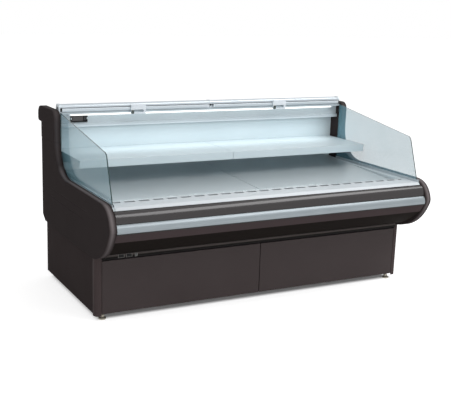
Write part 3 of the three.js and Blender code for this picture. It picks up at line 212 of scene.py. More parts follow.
def relief(place, height, distance, strength=1.0):
    """Turns a height into small bumps of that distance in metres."""
    return place.node("ShaderNodeBump", {}, {
        "Height": height, "Distance": distance, "Strength": strength})


print("near black is", [round(c, 3) for c in tint(48, 42, 42)[:3]])

# %% [markdown]
# The ends are foamed mouldings with a fine leather grain that hides scratches. The grain is a
# cell pattern about a millimetre across, and a slow cloud of lighter and darker patches keeps a
# large dark panel from looking like cut paper. The ends are dull, so they stay dark beside a
# white floor. Their rims are painted paler as a painted highlight, most round the nose and little
# up the upright. The same recipe with a finer grain gives the other plastics, and a painted
# highlight along the rail's upper edge.

# %% Moulded plastics
RIM_X, RIM_SPREAD = 0.96, 0.0175
NOSE_HIGH, NOSE_LOW = 0.72, 0.28
RAIL_EDGE = 0.339


def rim_highlight(place, specks):
    """A painted highlight: about 1 along the middle of each end's rim, fading above the nose and
    below it.
    """
    off_rim = abs(abs(place.axis("X")) - RIM_X)
    rim_band = (1 - off_rim * (1 / RIM_SPREAD)).at_least(0.0)
    up_to_nose = ((NOSE_HIGH - place.axis("Z")) * 24.0).at_least(0.25)
    down_to_nose = (place.axis("Z") - NOSE_LOW) * 3.4
    within = up_to_nose.at_most(down_to_nose).at_most(1.0)
    return rim_band * (specks * 0.4 + 0.8) * within


def moulding(name, colour, paler_tone_or_highlight, grain, depth, roughness, shine=0.3, rims=False, edge=None):
    def describe(place):
        clouds = place.cloudy(0.22)
        specks = place.cloudy(0.004, 2.0)
        cells = place.node("ShaderNodeTexVoronoi", {"feature": "F1"}, {
            "Vector": place, "Scale": 1 / grain})
        mask = clouds * 0.75 + specks * 0.25
        if rims:
            # painted highlight along the end rims, over a little of the random tone
            mask = mask * 0.12 + rim_highlight(place, specks)
        # painted highlight: the colour turns paler above the given height, along the rail's upper
        # edge
        if edge:
            mask = mask * 0.3 + (place.axis("Z") - edge) * 140.0
        return {
            "Base Color": mask.shade(colour, paler_tone_or_highlight),
            "Roughness": clouds * 0.12 + (roughness - 0.06),
            "Normal": relief(place, cells, depth),
        }
    return finish(name, describe, Specular_IOR_Level=shine)


# the paler colour here is mostly a painted highlight on the rims
end_skin = moulding("end_skin", tint(46, 40, 40), tint(118, 111, 112), grain=0.0014,
                    depth=0.00012, roughness=0.82, shine=0.02, rims=True)
black_plastic = moulding("black_plastic", tint(17, 17, 18), tint(27, 27, 28), grain=0.0009,
                         depth=0.00006, roughness=0.42, shine=0.15)
# the paler colour here is a painted highlight above the rail's upper edge
rail_black = moulding("rail_black", tint(20, 18, 17), tint(86, 80, 78), grain=0.0009,
                      depth=0.00006, roughness=0.5, shine=0.06, edge=RAIL_EDGE)
grey_plastic = moulding("grey_plastic", tint(96, 93, 91), tint(118, 115, 113), grain=0.0009,
                        depth=0.00004, roughness=0.45)
print("mouldings:", [m.name for m in (end_skin, black_plastic, rail_black, grey_plastic)])

# %% [markdown]
# Powder coat is sprayed on sheet steel and baked. It flows into a faint orange peel, a few
# millimetres from hill to hill, and has no grain. Cleaning leaves soft smears that only show in
# the shine, and sweeping leaves dull scuffs along the lowest edge. Below its fold the fascia is
# darker, as painted shade where the sheet turns down towards the plinth.

# %% Powder-coated sheet
SCUFFED_UP_TO, FASCIA_FOLD = 0.11, 0.469


def powder_coat(name, colour, light, roughness=0.42, scuffs=1.0, shine=0.4, shaded_underside=None):
    def describe(place):
        clouds = place.cloudy(0.35)
        smears = place.cloudy(0.09, 4.0, (3.5, 1, 1))
        peel = place.cloudy(0.0035, 1.0)
        low = ((SCUFFED_UP_TO - place.axis("Z")) * 9.0).at_least(0.0)
        marks = (place.cloudy(0.012, 5.0, (5, 5, 1)) - 0.52).at_least(0.0)
        scuff = low * marks * (5.0 * scuffs)
        paint = (clouds * 0.8 + smears * 0.2 + scuff * 0.6).shade(colour, light)
        # painted shade: the colour darkens below the fascia's fold
        if shaded_underside:
            below_fold = (FASCIA_FOLD - place.axis("Z")) * 160.0 + 0.5
            paint = below_fold.shade(paint, shaded_underside)
        return {
            "Base Color": paint,
            "Roughness": smears * 0.14 + scuff * 0.3 + (roughness - 0.07),
            "Normal": relief(place, peel, 0.00005),
        }
    return finish(name, describe, Specular_IOR_Level=shine)


dark_sheet = powder_coat("dark_sheet", tint(62, 54, 54), tint(72, 64, 64), shine=0.12)
# a darker copy of the plinth's powder coat: painted shade on the side panels
shaded_side_sheet = powder_coat("shaded_side_sheet", tint(53, 46, 46), tint(61, 54, 54),
                        roughness=0.8, shine=0.02)
dark_post = powder_coat("dark_post", tint(67, 58, 58), tint(80, 70, 70),
                        roughness=0.6, shine=0.05)
# its underside colour is painted shade below the fold
fascia_sheet = powder_coat("fascia_sheet", tint(68, 59, 60), tint(78, 68, 69),
                           roughness=0.75, scuffs=0.0, shine=0.02, shaded_underside=tint(30, 26, 24))
frame_paint = powder_coat("frame_paint", tint(38, 36, 36), tint(52, 50, 50),
                          roughness=0.5, scuffs=0.3, shine=0.2)
pale_sheet = powder_coat("pale_sheet", tint(194, 209, 215), tint(210, 223, 228),
                         roughness=0.34, scuffs=0.0)
sill_sheet = powder_coat("sill_sheet", tint(206, 213, 218), tint(220, 226, 230),
                         roughness=0.34, scuffs=0.0)
hood_sheet = powder_coat("hood_sheet", tint(184, 195, 201), tint(201, 211, 217),
                         roughness=0.3, scuffs=0.0)
print("sheets:", [m.name for m in (dark_sheet, shaded_side_sheet, dark_post, frame_paint, pale_sheet)])

# %% [markdown]
# Rolled and drawn metal carries hair lines along its length, because it was pulled through a die
# or brushed on a belt. The lines are noise that is stretched a hundred times along X, and they
# change the shine and the relief more than the colour.


# %% Drawn and brushed metals
def drawn_metal(name, colour, light, metallic, roughness, along=(160, 1, 1), line=0.0006):
    def describe(place):
        lines = place.cloudy(line, 2.0, along)
        clouds = place.cloudy(0.12)
        return {
            "Base Color": (lines * 0.6 + clouds * 0.4).shade(colour, light),
            "Roughness": lines * 0.16 + (roughness - 0.08),
            "Normal": relief(place, lines, 0.00002, 0.6),
        }
    return finish(name, describe, Metallic=metallic)


bumper_silver = drawn_metal("bumper_silver", tint(128, 137, 142), tint(158, 167, 172),
                            metallic=0.35, roughness=0.34)
aluminium = drawn_metal("aluminium", tint(182, 191, 198), tint(208, 216, 221),
                        metallic=0.45, roughness=0.32)
pan_steel = drawn_metal("pan_steel", tint(196, 206, 210), tint(220, 228, 231),
                        metallic=0.5, roughness=0.36, along=(60, 1, 1), line=0.0011)
zinc = drawn_metal("zinc", tint(140, 134, 122), tint(182, 176, 164),
                   metallic=0.8, roughness=0.38, along=(1, 1, 4), line=0.0015)
print("metals:", [m.name for m in (bumper_silver, aluminium, pan_steel, zinc)])

# %% [markdown]
# The dark bumper is an extruded profile: it is smoother than the mouldings and shows long
# faint die lines, so the light from above runs along it as one soft streak.


# %% Dark extruded bumper
def extruded(place):
    lines = place.cloudy(0.0012, 2.0, (220, 1, 1))
    clouds = place.cloudy(0.3)
    return {
        "Base Color": (lines * 0.4 + clouds * 0.6).shade(tint(28, 23, 24), tint(38, 32, 34)),
        "Roughness": lines * 0.08 + 0.12,
        "Normal": relief(place, lines, 0.00002, 0.4),
    }


bumper_dark = finish("bumper_dark", extruded, Specular_IOR_Level=0.65)
print("bumper:", bumper_dark.name)

# %% [markdown]
# Toughened glass is clear across its faces, with the faint blue-green of the iron in it, and
# dark bottle green along its edges, where the eye looks through its whole length. The faces
# let most light through and the edges little, so the pane takes two materials.


# %% Glass, faces and edges
def pane(place):
    film = place.cloudy(0.25, 2.0)
    streaks = place.cloudy(0.02, 3.0, (1, 1, 12))
    return {
        "Base Color": film.shade(tint(124, 174, 190), tint(140, 188, 202)),
        "Roughness": streaks * 0.05 + 0.02,
        "Alpha": film * 0.06 + 0.3,
    }


def cut_edge(place):
    ripples = place.cloudy(0.006, 2.0, (1, 1, 3))
    return {
        "Base Color": ripples.shade(tint(10, 30, 30), tint(34, 68, 66)),
        "Roughness": ripples * 0.1 + 0.08,
    }


glass_face = finish("glass_face", pane, IOR=1.5)
glass_edge = finish("glass_edge", cut_edge, IOR=1.5)
print("glass:", glass_face.name, glass_edge.name)

# %% [markdown]
# The small finishes are glossy white plastic for the handles, soft black rubber for the seals and
# the lamp's frosted cover. Each is too small on the cabinet to show a pattern, but a faint cloud
# in its colour and shine keeps it from looking printed.


# %% Small finishes
def white_gloss(place):
    clouds = place.cloudy(0.02)
    return {"Base Color": clouds.shade(tint(214, 221, 228), tint(238, 242, 247)),
            "Roughness": clouds * 0.1 + 0.16}


def rubber(place):
    dust = place.cloudy(0.008, 4.0)
    return {"Base Color": dust.shade(tint(14, 13, 13), tint(30, 28, 28)),
            "Roughness": dust * 0.2 + 0.6,
            "Normal": relief(place, place.cloudy(0.0012, 2.0), 0.00005)}


def frosted(place):
    clouds = place.cloudy(0.05)
    return {"Base Color": clouds.shade(tint(240, 242, 240), tint(250, 251, 249)),
            "Roughness": clouds * 0.1 + 0.35}


white_plastic = finish("white_plastic", white_gloss, Coat_Weight=0.3)
seal_rubber = finish("seal_rubber", rubber)
lamp_cover = finish("lamp_cover", frosted, Emission_Color=tint(255, 253, 246),
                    Emission_Strength=1.0)
print("small finishes:", white_plastic.name, seal_rubber.name, lamp_cover.name)

# %% [markdown]
# The coils have bare fins and the pipes are copper. Both metals are drawn and left unpainted, so
# one recipe with fine lines along Z and a little tarnish gives them both.


# %% Fins and copper
def bare_metal(name, dark, light, grain):
    def describe(place):
        lines = place.cloudy(grain, 2.0, (1, 1, 30))
        clouds = place.cloudy(0.03)
        return {"Base Color": (lines * 0.5 + clouds * 0.5).shade(dark, light),
                "Roughness": clouds * 0.2 + 0.3,
                "Normal": relief(place, lines, 0.00003)}
    return finish(name, describe, Metallic=0.75)


coil_fins = bare_metal("coil_fins", tint(150, 154, 156), tint(196, 200, 202), 0.0008)
copper_pipe = bare_metal("copper_pipe", tint(140, 78, 48), tint(186, 112, 74), 0.002)
print("coils:", coil_fins.name, copper_pipe.name)

# %% [markdown]
# The tub is one foamed body with two skins. Inside it is the white liner that the lamp lights,
# and outside it is grey galvanised sheet, whose zinc crystals show as pale flakes. What lies
# behind the rear wall's foam or under the tub's bottom is outside.

# %% Tub skins
WALL_BACK, TUB_BOTTOM = 0.4845, 0.3999


def tub_skins(place):
    flakes = place.node("ShaderNodeTexVoronoi", {"feature": "F1"}, {
        "Vector": place, "Scale": 70.0}, out=1)
    flake = place.node("ShaderNodeSeparateColor", {}, {0: flakes})
    clouds = place.cloudy(0.2)
    outer = (flake * 0.6 + clouds * 0.4).shade(tint(118, 122, 124), tint(152, 156, 158))
    inner = clouds.shade(tint(206, 219, 224), tint(222, 232, 236))
    outside = (place.axis("Y") > WALL_BACK).at_least(place.axis("Z") < TUB_BOTTOM)
    return {"Base Color": outside.shade(inner, outer),
            "Roughness": flake * 0.15 + 0.33,
            "Normal": relief(place, place.cloudy(0.004, 1.0), 0.00004)}


tub_finish = finish("tub_finish", tub_skins)
print("tub:", tub_finish.name)

# %% [markdown]
# Every piece below is drawn the same way. A line of corners is laid in a plane, and each corner
# is rounded with a vertex bevel. A soft bend is one curve whose handle lies where its two
# straight ends would cross.


# %% Draw a rounded line
def spot(plane, a, b, at):
    """A point from two numbers in a plane, and its place along the third axis."""
    return {"X": (at, a, b), "Y": (a, at, b), "Z": (a, b, at)}[plane]


def round_corners(bm, chosen, steps=8):
    """Rounds each (vertex, radius) of a line or face with an arc."""
    for vertex, radius in chosen:
        ends = [edge.other_vert(vertex).co - vertex.co for edge in vertex.link_edges]
        half = ends[0].angle(ends[1]) / 2
        bmesh.ops.bevel(bm, geom=[vertex], offset=radius / math.tan(half), segments=steps,
                        profile=0.5, affect="VERTICES", material=-1)


def line_of(bm, plane, at, corners, closed=False):
    """Corners are (a, b) or (a, b, radius)."""
    verts = [bm.verts.new(spot(plane, c[0], c[1], at)) for c in corners]
    for first, second in zip(verts, verts[1:] + (verts[:1] if closed else [])):
        bm.edges.new((first, second))
    round_corners(bm, [(v, c[2]) for v, c in zip(verts, corners) if len(c) > 2])
    return bm


def curve_between(start, control, end, steps):
    """Points of one soft bend, which a single handle pulls out."""
    s, c, e = (Vector((*p, 0)) for p in (start, control, end))
    points = interpolate_bezier(s, s.lerp(c, 2 / 3), e.lerp(c, 2 / 3), e, steps)
    return [(point.x, point.y) for point in points]


bend = curve_between((0, 0), (1, 0), (1, 1), 3)
print("a bend:", [tuple(round(x, 3) for x in point) for point in bend])

# %% [markdown]
# Then the line is pulled along an axis. Bent sheet gets its thickness afterwards, as a press
# brake would leave it. A solid extrusion is capped first, and its edges are eased at the end.


# %% Pull it along, thicken it or cap it
def pull(bm, extrusion, plane, length):
    """Moves what was extruded along the third axis, and turns every face outwards."""
    verts = [part for part in extrusion["geom"] if isinstance(part, bmesh.types.BMVert)]
    bmesh.ops.translate(bm, verts=verts, vec=spot(plane, 0, 0, length))
    bmesh.ops.recalc_face_normals(bm, faces=bm.faces[:])
    return bm


def bent_sheet(plane, start, end, corners, thickness, inside):
    """A folded sheet that gets its thickness towards the point inside, (a, b) in its plane."""
    bm = line_of(bmesh.new(), plane, start, corners)
    pull(bm, bmesh.ops.extrude_edge_only(bm, edges=bm.edges[:]), plane, end - start)
    widest = max(bm.faces, key=lambda face: face.calc_area())
    centre = widest.calc_center_median()
    inward = Vector(spot(plane, *inside, centre["XYZ".index(plane)])) - centre
    if widest.normal.dot(inward) > 0:
        bmesh.ops.reverse_faces(bm, faces=bm.faces[:])
    bmesh.ops.solidify(bm, geom=bm.faces[:], thickness=thickness)
    bmesh.ops.recalc_face_normals(bm, faces=bm.faces[:])
    return bm


def solid_bar(plane, start, end, corners):
    """A capped extrusion."""
    bm = line_of(bmesh.new(), plane, start, corners, closed=True)
    cap = bmesh.ops.contextual_create(bm, geom=bm.edges[:])["faces"]
    return pull(bm, bmesh.ops.extrude_face_region(bm, geom=cap), plane, end - start)


def ease(bm, width, steps=2, over=40, only=None):
    """Rounds the sharp edges, as every real edge is."""
    sharp = [edge for edge in bm.edges if len(edge.link_faces) == 2
             and edge.calc_face_angle(0) > math.radians(over) and (only is None or only(edge))]
    bmesh.ops.bevel(bm, geom=sharp, offset=width, segments=steps, profile=0.5,
                    affect="EDGES", clamp_overlap=True, material=-1)
    return bm


trial_bar = solid_bar("X", 0, 1, [(0, 0), (1, 0), (1, 1), (0, 1, 0.2)])
print("a bar has", len(trial_bar.faces), "faces")
trial_bar.free()

# %% [markdown]
# A finished mesh becomes an object that stays at the origin, gets its finish, and rides on the
# body that carries it. Where it stands for a solid of the model, that solid is hidden. Weighted
# normals keep the large faces flat beside their rounded edges.

# %% Keep a piece
SIDES = ((-1, "left"), (1, "right"))
made = {}


def mesh_object(name, bm, *materials):
    mesh = bpy.data.meshes.new(name)
    bm.to_mesh(mesh)
    bm.free()
    for layer in materials:
        mesh.materials.append(layer)
    return add_object(name, mesh)


def keep(name, bm, material, body="cabinet", stands_for=(), smooth=35):
    piece = mesh_object(name, bm, *(material if isinstance(material, tuple) else (material,)))
    piece.data.shade_smooth()
    piece.data.set_sharp_from_angle(angle=math.radians(smooth))
    weighted = piece.modifiers.new("weighted_normals", "WEIGHTED_NORMAL")
    weighted.keep_sharp = True
    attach(piece, body)
    if stands_for:
        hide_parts(*stands_for)
    made[name] = piece


def copy_of(node):
    """The solid's own mesh, welded and with its flat faces joined up."""
    bm = bmesh.new()
    bm.from_mesh(frame["nodes"][node].data)
    for layer in bm.loops.layers.float_vector.values():
        bm.loops.layers.float_vector.remove(layer)
    bmesh.ops.remove_doubles(bm, verts=bm.verts[:], dist=0.00002)
    bmesh.ops.dissolve_limit(bm, angle_limit=math.radians(0.5), verts=bm.verts[:],
                             edges=bm.edges[:])
    return bm


def skin(node, bm, material, smooth=35):
    """Keeps a piece that stands for a solid, on the solid's own body."""
    keep(node + "_skin", bm, material, body_of[node], (node,), smooth=smooth)


def dress(node, material, width, over=40):
    """Stands for a solid with the same shape, its edges eased."""
    skin(node, ease(copy_of(node), width, over=over), material)


welded = copy_of("insulated_tub")
print("welded tub:", len(welded.verts), "corners")
welded.free()

# %% [markdown]
# Each end is one large moulding: a bulbous nose at the front, a level ledge, and an upright with
# a rounded cap that stands out at the rear. It could be sculpted, but its real mould was cut
# from one outline, so the outline is drawn first. A corner's third number is its radius.

# %% Outline of the end moulding
FRONT, REAR, PLINTH_TOP, LEDGE, JOINT, TOP = -0.34, 0.49, 0.341, 0.65, 0.828, 1.003
NOSE, CAP_REAR, CAP_FOOT, BACK = (-0.588, 0.537), 0.588, 0.915, 0.522
end_outline = [
    *curve_between((FRONT - 0.005, PLINTH_TOP), (-0.522, 0.37), NOSE, 22)[:-1],
    (*NOSE, 0.044), *curve_between(NOSE, (-0.565, 0.645), (-0.46, LEDGE), 18)[2:],
    (0.29, LEDGE, 0.185), (0.29, TOP, 0.04), (CAP_REAR, TOP, 0.046),
    (CAP_REAR, CAP_FOOT, 0.018), (BACK + 0.005, CAP_FOOT, 0.01), (BACK + 0.005, JOINT),
    (BACK, JOINT), (BACK, 0.375), (0.475, PLINTH_TOP),
]
print("outline corners:", len(end_outline))

# %% [markdown]
# The outline is pulled to 40 mm, and only the edges along it get the large rim, because the
# corners within it are round already. The moulding is then cut at its joint line, and two shallow
# grooves are pressed into the lower part, between cuts that mark out their place.

# %% Mould both ends and cut them at the joint
END_IN, END_OUT, RIM = 0.9375, 0.9775, 0.008
GROOVES, GROOVE_HALF = (0.514, 0.56), 0.003
GROOVE_FRONT, GROOVE_REAR = FRONT + 0.075, REAR - 0.099


def end_moulding(side):
    def on_a_face(edge):
        return abs(edge.verts[0].co.x - edge.verts[1].co.x) < 1e-6
    return ease(solid_bar("X", side * END_IN, side * END_OUT, end_outline), RIM, 5, 60, on_a_face)


def bisect(bm, point, normal, **cleared):
    bmesh.ops.bisect_plane(bm, geom=bm.verts[:] + bm.edges[:] + bm.faces[:], dist=1e-6,
                           plane_co=point, plane_no=normal, **cleared)


def cut_level(bm, height, keep_above):
    """Cuts a piece level, closes the cut and eases its edge."""
    bisect(bm, (0, 0, height), (0, 0, 1), clear_inner=keep_above, clear_outer=not keep_above)
    rim = [edge for edge in bm.edges if edge.is_boundary]
    bmesh.ops.contextual_create(bm, geom=rim)
    bmesh.ops.recalc_face_normals(bm, faces=bm.faces[:])
    rim = [edge for edge in rim if edge.is_valid and edge.calc_face_angle(0) > 0.7]
    bmesh.ops.bevel(bm, geom=rim, offset=0.0012, segments=2, profile=0.5, affect="EDGES",
                    material=-1)
    return bm


def press_groove(bm, side, height):
    """A shallow groove along the outer face."""
    for z in (height - GROOVE_HALF, height + GROOVE_HALF):
        bisect(bm, (0, 0, z), (0, 0, 1))
    for y in (GROOVE_FRONT, GROOVE_REAR):
        bisect(bm, (0, y, 0), (0, 1, 0))
    bottom = [face for face in bm.faces if face.normal.x * side > 0.99
              and abs(face.calc_center_median().z - height) < GROOVE_HALF
              and GROOVE_FRONT < face.calc_center_median().y < GROOVE_REAR]
    bmesh.ops.inset_region(bm, faces=bottom, thickness=0.0012, depth=-0.0015,
                           use_even_offset=True)


for side, word in SIDES:
    skin(f"upright_cover_{word}", cut_level(end_moulding(side), JOINT, True), end_skin)
    lower = cut_level(end_moulding(side), JOINT - 0.0003, False)
    for height in GROOVES:
        press_groove(lower, side, height)
    skin(f"end_panel_{word}", lower, end_skin)
print("ends:", [name for name in made if "left" in name])

# %% [markdown]
# Two bumpers run the length of the nose, a dark one over a silver one. Both are extrusions cut
# to length, so each is a curved outline pulled along X with its sawn ends eased. A soft black
# seal closes each joint, and it is what draws the dark lines between the bands.

# %% Bumpers and their seals
BUMPER_END, BUMPER_BACK = 0.9365, -0.5303
upper = solid_bar("X", -BUMPER_END, BUMPER_END, [
    (-0.571, 0.567, 0.0015), (BUMPER_BACK, 0.567), (BUMPER_BACK, 0.615), (-0.5326, 0.615),
    *curve_between((-0.5326, 0.622), (-0.562, 0.618), (-0.571, 0.567), 20)[:-1],
])
skin("upper_bumper", ease(upper, 0.0008), bumper_dark)
silver = solid_bar("X", -BUMPER_END, BUMPER_END, [
    (BUMPER_BACK, 0.521), (BUMPER_BACK, 0.565),
    *curve_between((-0.568, 0.565), (-0.59, 0.548), (-0.583, 0.521), 20),
])
skin("silver_bumper", ease(silver, 0.001), bumper_silver)


def lip_seal(name, y, z, size):
    """A rubber profile along a joint: a round bulb with a lip that droops over the gap."""
    outline = [(0.9, -0.5), (-0.35, -0.6, 0.2), (-1.0, -0.95, 0.06), (-0.8, 0.1, 0.35),
               (-0.55, 0.85, 0.35), (0.9, 0.6)]
    corners = [(y + a * size, z + b * size, *(r * size for r in rest)) for a, b, *rest in outline]
    keep(name, solid_bar("X", -BUMPER_END, BUMPER_END, corners), seal_rubber,
         smooth=50)


lip_seal("bumper_joint_seal", -0.5673, 0.566, 0.0022)
lip_seal("bumper_foot_seal", -0.5795, 0.5192, 0.004)
lip_seal("sill_joint_seal", -0.5345, 0.6222, 0.0024)
print("bumpers:", [round(x, 3) for x in made["silver_bumper_skin"].dimensions])

# %% [markdown]
# Under the bumpers a bent sheet sweeps back to the plinth. It has one visible crease, where the
# flat band turns into the curve, and the crease catches the light. The line of its front face is
# drawn and thickened inwards, and below it a round-cornered rail holds the switches.

# %% Fascia under the nose
fascia = bent_sheet("X", -BUMPER_END, BUMPER_END, [
    (BUMPER_BACK, 0.519), (-0.579, 0.519, 0.003), (-0.548, FASCIA_FOLD, 0.006),
    *curve_between((-0.548, FASCIA_FOLD), (-0.49, 0.407), (-0.4, 0.368), 20)[1:],
    (-0.4, 0.392),
], 0.003, inside=(-0.45, 0.5))
skin("lower_fascia", ease(fascia, 0.0005, over=70), fascia_sheet)
dress("switch_rail", rail_black, 0.0005, over=50)
print("fascia:", [round(x, 3) for x in made["lower_fascia_skin"].dimensions])

# %% [markdown]
# The controls sit in the rail: two rockers that tilt about an upright pin, each in a grey
# surround. A surround is a plate with a hole, so two rounded outlines are bridged into a ring
# and the ring is pulled forward.

# %% Rockers and surrounds
RAIL_FRONT, CONTROL_FOOT, CONTROL_TOP = -0.352, 0.3305, 0.3495


def box_corners(a0, a1, b0, b1, radius):
    return [(a0, b0, radius), (a1, b0, radius), (a1, b1, radius), (a0, b1, radius)]


def holed_plate(plane, at, depth, outer, hole):
    bm = line_of(bmesh.new(), plane, at, outer, closed=True)
    line_of(bm, plane, at, hole, closed=True)
    ring = bmesh.ops.bridge_loops(bm, edges=bm.edges[:])["faces"]
    return pull(bm, bmesh.ops.extrude_face_region(bm, geom=ring), plane, depth)


for word, x in (("left", -0.8265), ("right", -0.7835)):
    dress(f"rocker_switch_{word}", black_plastic, 0.0005)
    surround = holed_plate("Y", RAIL_FRONT + 0.0002, -0.0016,
                           box_corners(x - 0.0172, x + 0.0172, CONTROL_FOOT, CONTROL_TOP, 0.002),
                           box_corners(x - 0.0142, x + 0.0142, 0.3323, 0.3477, 0.001))
    keep(f"rocker_surround_{word}", ease(surround, 0.0003), grey_plastic)
print("rockers:", [name for name in made if "rocker" in name])

# %% [markdown]
# Beside the rockers is a small signal lamp, a grey pad with a dark green lens on it. The lamp is
# off, so the lens is only a glossy dark colour under a clear coat.


# %% Signal lamp
def pad(plane, at, depth, corners, width=0.0004):
    return ease(solid_bar(plane, at, at + depth, corners), width)


def signal_lens(place):
    clouds = place.cloudy(0.003)
    return {"Base Color": clouds.shade(tint(14, 24, 20), tint(28, 46, 38)),
            "Roughness": clouds * 0.1 + 0.12}


lens_green = finish("lens_green", signal_lens, Coat_Weight=0.5)
signal_corners = box_corners(-0.753, -0.737, CONTROL_FOOT, CONTROL_TOP, 0.002)
keep("signal_lamp_body", pad("Y", RAIL_FRONT + 0.0002, -0.002, signal_corners), grey_plastic)
lens_corners = box_corners(-0.7492, -0.7408, 0.3342, 0.3458, 0.0015)
keep("signal_lamp_lens", pad("Y", RAIL_FRONT - 0.0018, -0.0016, lens_corners), lens_green)
print("signal:", [name for name in made if "signal" in name])

# %% [markdown]
# The plinth is powder-coated sheet: rounded posts at its corners, large flat sides, and two
# folded panels at the front that pull off for cleaning. Their shapes are right as solids, so
# each skin is the solid's own welded mesh with its folds rounded. The posts are redrawn, because
# their curve is what the light follows.

# %% Plinth
POST_OUTER, POST_ARM = 0.9625, 0.036
for side, word in SIDES:
    outer = side * POST_OUTER
    post = bent_sheet("Z", 0.025, PLINTH_TOP, [
        (outer - side * POST_ARM, FRONT), (outer, FRONT, 0.024), (outer, FRONT + POST_ARM)],
        0.003, inside=(outer - side * 0.03, FRONT + 0.03))
    skin(f"corner_post_{word}", ease(post, 0.0005, over=70), dark_post)
    dress(f"side_panel_{word}", shaded_side_sheet, 0.0008)
    dress(f"front_panel_{word}", dark_sheet, 0.001)
dress("rear_panel", dark_sheet, 0.0005)
print("plinth:", [name for name in made if "panel" in name])

# %% [markdown]
# A levelling foot is turned on a lathe, so its profile is spun about its own axis: a wide disc,
# a shoulder, and a threaded stud whose thread is a row of small ridges. The nut is the one part
# that isn't round, and a cone with six sides and no taper makes it.

# %% Levelling feet
FOOT_X, FOOT_FRONT, FOOT_REAR, STUD = 0.9125, -0.3087, 0.4717, 0.006


def turned_about_z(profile, x, y, steps=40):
    bm = bmesh.new()
    verts = [bm.verts.new((x + r, y, z)) for r, z in profile]
    edges = [bm.edges.new(pair) for pair in zip(verts, verts[1:])]
    bmesh.ops.spin(bm, geom=verts + edges, cent=(x, y, 0), axis=(0, 0, 1),
                   angle=2 * math.pi, steps=steps, use_merge=True)
    bmesh.ops.remove_doubles(bm, verts=bm.verts[:], dist=1e-6)
    bmesh.ops.recalc_face_normals(bm, faces=bm.faces[:])
    return bm


thread = [(STUD - 0.0006 * (turn % 2), 0.0245 + 0.00075 * turn) for turn in range(14)]
foot_profile = [(0, 0), (0.0192, 0), (0.02, 0.0008), (0.02, 0.007), (0.019, 0.008),
                (0.0125, 0.0112), (0.0115, 0.0125), (0.0115, 0.0138), (0.0062, 0.0142),
                (STUD, 0.0242), *thread, (STUD, 0.0352), (STUD, 0.0465), (0, 0.0465)]
for word, x, y in (("front_left", -FOOT_X, FOOT_FRONT), ("rear_left", -FOOT_X, FOOT_REAR),
                   ("front_right", FOOT_X, FOOT_FRONT), ("rear_right", FOOT_X, FOOT_REAR)):
    foot = turned_about_z(foot_profile, x, y)
    bmesh.ops.create_cone(foot, cap_ends=True, segments=6, radius1=0.0108, radius2=0.0108,
                          depth=0.008, matrix=Matrix.Translation((x, y, 0.0182)))
    skin(f"levelling_foot_{word}", foot, zinc)
print("foot corners:", len(made["levelling_foot_front_left_skin"].data.vertices))

# %% [markdown]
# The sill, hood and shelves are folded from thin coated sheet, and a fold is never sharp. Each
# keeps its solid's shape and gets a small radius along every edge. The deck pans are brushed
# steel, because they are lifted out and washed.

# %% Folded sheets of the display well
for material, width, nodes in (
        (sill_sheet, 0.0006, ["front_sill"]), (hood_sheet, 0.0007, ["hood"]),
        (pale_sheet, 0.0008, ["shelf_left", "shelf_right"]),
        (pan_steel, 0.0008, ["deck_pan_left", "deck_pan_right"]),
        (pale_sheet, 0.0005, ["back_panel", "fan_plate", "shelf_bracket_left",
                              "shelf_bracket_middle", "shelf_bracket_right"]),
        (aluminium, 0.0003, ["glass_channel_left", "glass_channel_right"])):
    for node in nodes:
        dress(node, material, width)
print("sheets:", len([name for name in made if "shelf" in name or "pan" in name]))

# %% [markdown]
# The lamp under the hood's brow is a frosted cover with a holder at each end. The cover glows a
# little, and a soft light beside it lights the shelf and deck.

# %% Lamp and its holders
LAMP_END, COVER_END, HOLDER = 0.8825, 0.8705, 0.0125
lamp_corners = [(0.318, 0.9777), (0.318, 0.9687, 0.0042), (0.338, 0.9687, 0.0042),
                (0.338, 0.9777)]
skin("lamp", solid_bar("X", -COVER_END, COVER_END, lamp_corners), lamp_cover)
for side, word in SIDES:
    holder = solid_bar("X", side * (LAMP_END - HOLDER), side * LAMP_END, lamp_corners)
    keep(f"lamp_holder_{word}", ease(holder, 0.0005), white_plastic)
print("lamp:", [round(x, 3) for x in made["lamp_skin"].dimensions])

# %% [markdown]
# The thermostat is a panel-mounted controller: a black face with a sunk window, four keys beside
# it, and a pale clip at each end. The window is a glossy dark pane, blank as it is when the
# cabinet is off.

# %% Thermostat
FACE_Y = 0.3447


def dark_window(place):
    clouds = place.cloudy(0.01)
    return {"Base Color": clouds.shade(tint(24, 22, 24), tint(46, 42, 46)),
            "Roughness": clouds * 0.08 + 0.06}


dress("thermostat", black_plastic, 0.0006)
window_gloss = finish("window_gloss", dark_window, Coat_Weight=0.6)
key_rubber = moulding("key_rubber", tint(58, 60, 62), tint(74, 76, 78), grain=0.0006,
                      depth=0.00003, roughness=0.5)
window = box_corners(-0.852, -0.79, 0.936, 0.963, 0.0015)
keep("thermostat_window", pad("Y", FACE_Y + 0.002, -0.0012, window), window_gloss)
for key in range(4):
    x, z = -0.7815 + 0.009 * (key % 2), 0.9455 + 0.0105 * (key // 2)
    corners = box_corners(x - 0.0034, x + 0.0034, z - 0.004, z + 0.004, 0.0012)
    keep(f"thermostat_key_{key + 1}", pad("Y", FACE_Y + 0.002, -0.0022, corners), key_rubber)
for word, x in (("left", -0.8587), ("right", -0.7653)):
    corners = box_corners(x - 0.0022, x + 0.0022, 0.9435, 0.9555, 0.001)
    keep(f"thermostat_clip_{word}", pad("Y", FACE_Y + 0.0001, -0.0012, corners), aluminium)
print("thermostat:", len([name for name in made if "thermostat" in name]), "pieces")

# %% [markdown]
# The night blinds hang in aluminium housings along the top. A housing is one folded sheet with a
# slot along its front, so it is drawn as a line and thickened. Small black plugs sit on the end
# caps and on the front of the middle bracket.

